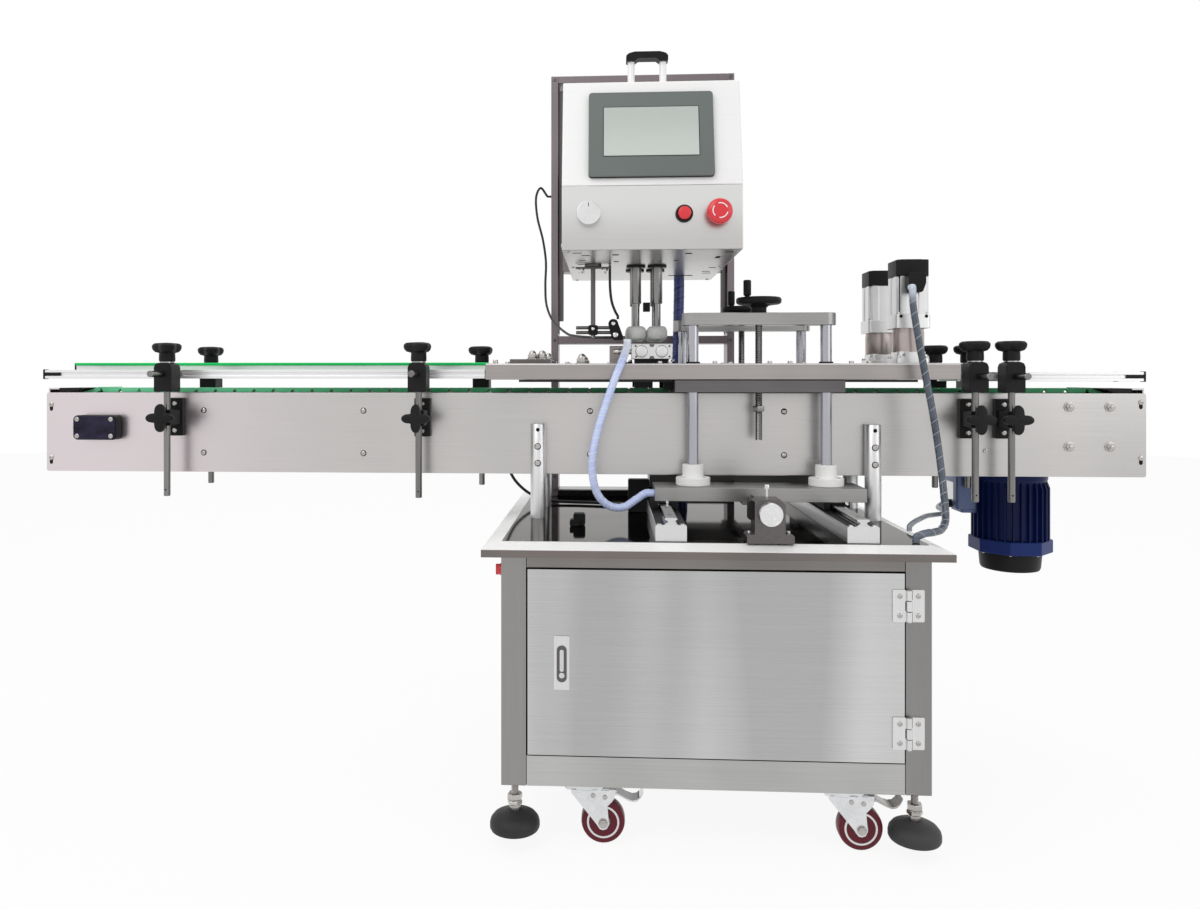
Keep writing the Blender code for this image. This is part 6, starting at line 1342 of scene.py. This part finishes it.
def smooth_route(points, steps=8):
    """Points along a smooth curve through a route, whose first and last runs stay straight."""
    spots = [Vector(p) for p in points]
    fine = [spots[0]]
    for before, start, end, after in zip(spots, spots[1:], spots[2:], spots[3:]):
        for k in range(steps):
            t = k / steps
            bend, twist = 2 * before - 5 * start + 4 * end - after, 3 * start - before - 3 * end + after
            fine.append(0.5 * (2 * start + (end - before) * t + bend * t * t + twist * t ** 3))
    return fine + spots[-2:]


def route_length(route):
    return sum((b - a).length for a, b in zip(route, route[1:]))


def wrap(name, route, radius, thickness, pitch, material, body):
    """The raised edge of a spiral wrap along a hose."""
    length = route_length(route)
    fine, walked = [], 0.0
    rings = rings_along(route, radius, 4)
    for (a, b), (low, high) in zip(zip(route, route[1:]), zip(rings, rings[1:])):
        run = (b - a).length
        count = max(1, round(run / pitch * WRAP_STEPS))
        for k in range(count):
            t = k / count
            centre = a.lerp(b, t)
            side = (low[0] - a).lerp(high[0] - b, t)
            other = (low[1] - a).lerp(high[1] - b, t)
            angle = 2 * math.pi * (walked + run * t) / pitch
            if WRAP_MARGIN < walked + run * t < length - WRAP_MARGIN:
                fine.append(centre + side * math.cos(angle) + other * math.sin(angle))
        walked += run
    return show(name, Shape().tube(fine, thickness, 5), material, body)


def cords():
    """Each cord on its route, with its spiral wrap where it has one."""
    for name, diameter, body, material, stiffness, lay in CORDS:
        route = smooth_route(ROUTES[name])
        curve = bpy.data.curves.new(f"{name}_run", "CURVE")
        curve.dimensions = "3D"
        curve.bevel_depth = diameter / 2
        curve.bevel_resolution = 5
        curve.use_fill_caps = True
        spline = curve.splines.new("POLY")
        spline.points.add(len(route) - 1)
        for point, place in zip(spline.points, route):
            point.co = (*place, 1.0)
        curve.materials.append(material)
        obj = bpy.data.objects.new(f"{name}_run", curve)
        bpy.context.scene.collection.objects.link(obj)
        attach(obj, body)
        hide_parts(name)
        extra = [wrap(f"{name}_wrap", route, *WRAPS[name], body)] if name in WRAPS else []


# Camera, lights and floor

LENS, SENSOR_WIDTH = 27, 36
SHIFT_X, SHIFT_Y = 0.0358, -0.0633
CAMERA_PLACE, CAMERA_TURN = (0.057, -1.75, 0.745), math.radians(3.24)
AMBIENT = 0.75
LAMP_TARGET = Vector((0.15, 0, 0.75))
# Name, place, size and power in watts
LAMPS = (("key", (-1.4, -1.9, 2.9), 2.0, 25), ("fill", (2.2, -1.6, 1.5), 1.6, 8), ("top", (0.1, 0.4, 3.2), 2.2, 15))
FLOOR_RADIUS, FLOOR_LEVEL = 9.0, -0.0005
BACKDROP_SHARE = 0.9


def camera():
    data = bpy.data.cameras.new("camera")
    data.lens = LENS
    data.sensor_width = SENSOR_WIDTH
    data.shift_x = SHIFT_X
    data.shift_y = SHIFT_Y
    obj = bpy.data.objects.new("camera", data)
    obj.location = CAMERA_PLACE
    obj.rotation_euler = (math.radians(90), 0, CAMERA_TURN)
    bpy.context.scene.collection.objects.link(obj)
    bpy.context.scene.camera = obj


def background_ray(nodes, links):
    """1 where a ray should see the white backdrop: from the camera, in gloss and through glass."""
    path = nodes.new("ShaderNodeLightPath")
    total = path.outputs["Is Camera Ray"]
    for name in ("Is Glossy Ray", "Is Transmission Ray"):
        add = nodes.new("ShaderNodeMath")
        add.operation = "MAXIMUM"
        links.new(total, add.inputs[0])
        links.new(path.outputs[name], add.inputs[1])
        total = add.outputs[0]
    return total


def studio():
    """White to the camera and in gloss, a softer light on the shapes, and three area lamps."""
    world = bpy.data.worlds.new("studio")
    world.use_nodes = True
    nodes, links = world.node_tree.nodes, world.node_tree.links
    backdrop, light = nodes["Background"], nodes.new("ShaderNodeBackground")
    backdrop.inputs["Strength"].default_value = 1.0
    backdrop.inputs["Color"].default_value = (1, 1, 1, 1)
    light.inputs["Strength"].default_value = AMBIENT
    light.inputs["Color"].default_value = (1.0, 0.99, 0.98, 1)
    mix = nodes.new("ShaderNodeMixShader")
    links.new(background_ray(nodes, links), mix.inputs[0])
    links.new(light.outputs[0], mix.inputs[1])
    links.new(backdrop.outputs[0], mix.inputs[2])
    links.new(mix.outputs[0], nodes["World Output"].inputs["Surface"])
    bpy.context.scene.world = world
    for name, place, size, power in LAMPS:
        data = bpy.data.lights.new(name, "AREA")
        data.energy = power
        data.size = size
        lamp = bpy.data.objects.new(name, data)
        lamp.location = place
        lamp.rotation_euler = (LAMP_TARGET - Vector(place)).to_track_quat("-Z", "Y").to_euler()
        bpy.context.scene.collection.objects.link(lamp)


def floor():
    """A round pale floor that keeps a soft share of the machine's shadow."""
    mesh = bpy.data.meshes.new("floor")
    bm = bmesh.new()
    bmesh.ops.create_circle(bm, cap_ends=True, radius=FLOOR_RADIUS, segments=96)
    bm.to_mesh(mesh)
    bm.free()
    made = bpy.data.materials.new("pale_floor")
    made.use_nodes = True
    nodes, links = made.node_tree.nodes, made.node_tree.links
    shader = nodes["Principled BSDF"]
    shader.inputs["Base Color"].default_value = (0.9, 0.9, 0.9, 1)
    shader.inputs["Roughness"].default_value = 0.9
    glow, mix = nodes.new("ShaderNodeEmission"), nodes.new("ShaderNodeMixShader")
    share = nodes.new("ShaderNodeMath")
    share.operation = "MULTIPLY"
    share.inputs[1].default_value = BACKDROP_SHARE
    links.new(background_ray(nodes, links), share.inputs[0])
    links.new(share.outputs[0], mix.inputs[0])
    links.new(shader.outputs[0], mix.inputs[1])
    links.new(glow.outputs[0], mix.inputs[2])
    links.new(mix.outputs[0], nodes["Material Output"].inputs["Surface"])
    mesh.materials.append(made)
    obj = bpy.data.objects.new("floor", mesh)
    obj.location.z = FLOOR_LEVEL
    bpy.context.scene.collection.objects.link(obj)


def main():
    bpy.context.scene.view_settings.view_transform = "Standard"
    camera()
    studio()
    floor()
    cords()
    cabinet()
    for corner, (i, j) in CORNERS.items():
        foot(corner, CABINET_X + i * FOOT_X, j * FOOT_Y)
        caster(corner, CABINET_X + i * SWIVEL_X, j * SWIVEL_Y)
    table()
    panels()
    supports()
    rail_brackets()
    chain()
    for name, guide in GUIDES.items():
        guide_rail(name, *guide)
    junction_box()
    belt_motor()
    for row, side in SIDES:
        bed(row, side)
        columns(row, side)
    clamp_block()
    gantry()
    head()
    touch_panel()
    controls()
    for name, place in SPINDLES.items():
        spindle(name, *place)
    sensor_arm()
    for node in ("chain_bed", "idler_sprocket", "drive_sprocket"):
        dress(node, NYLON)


main()
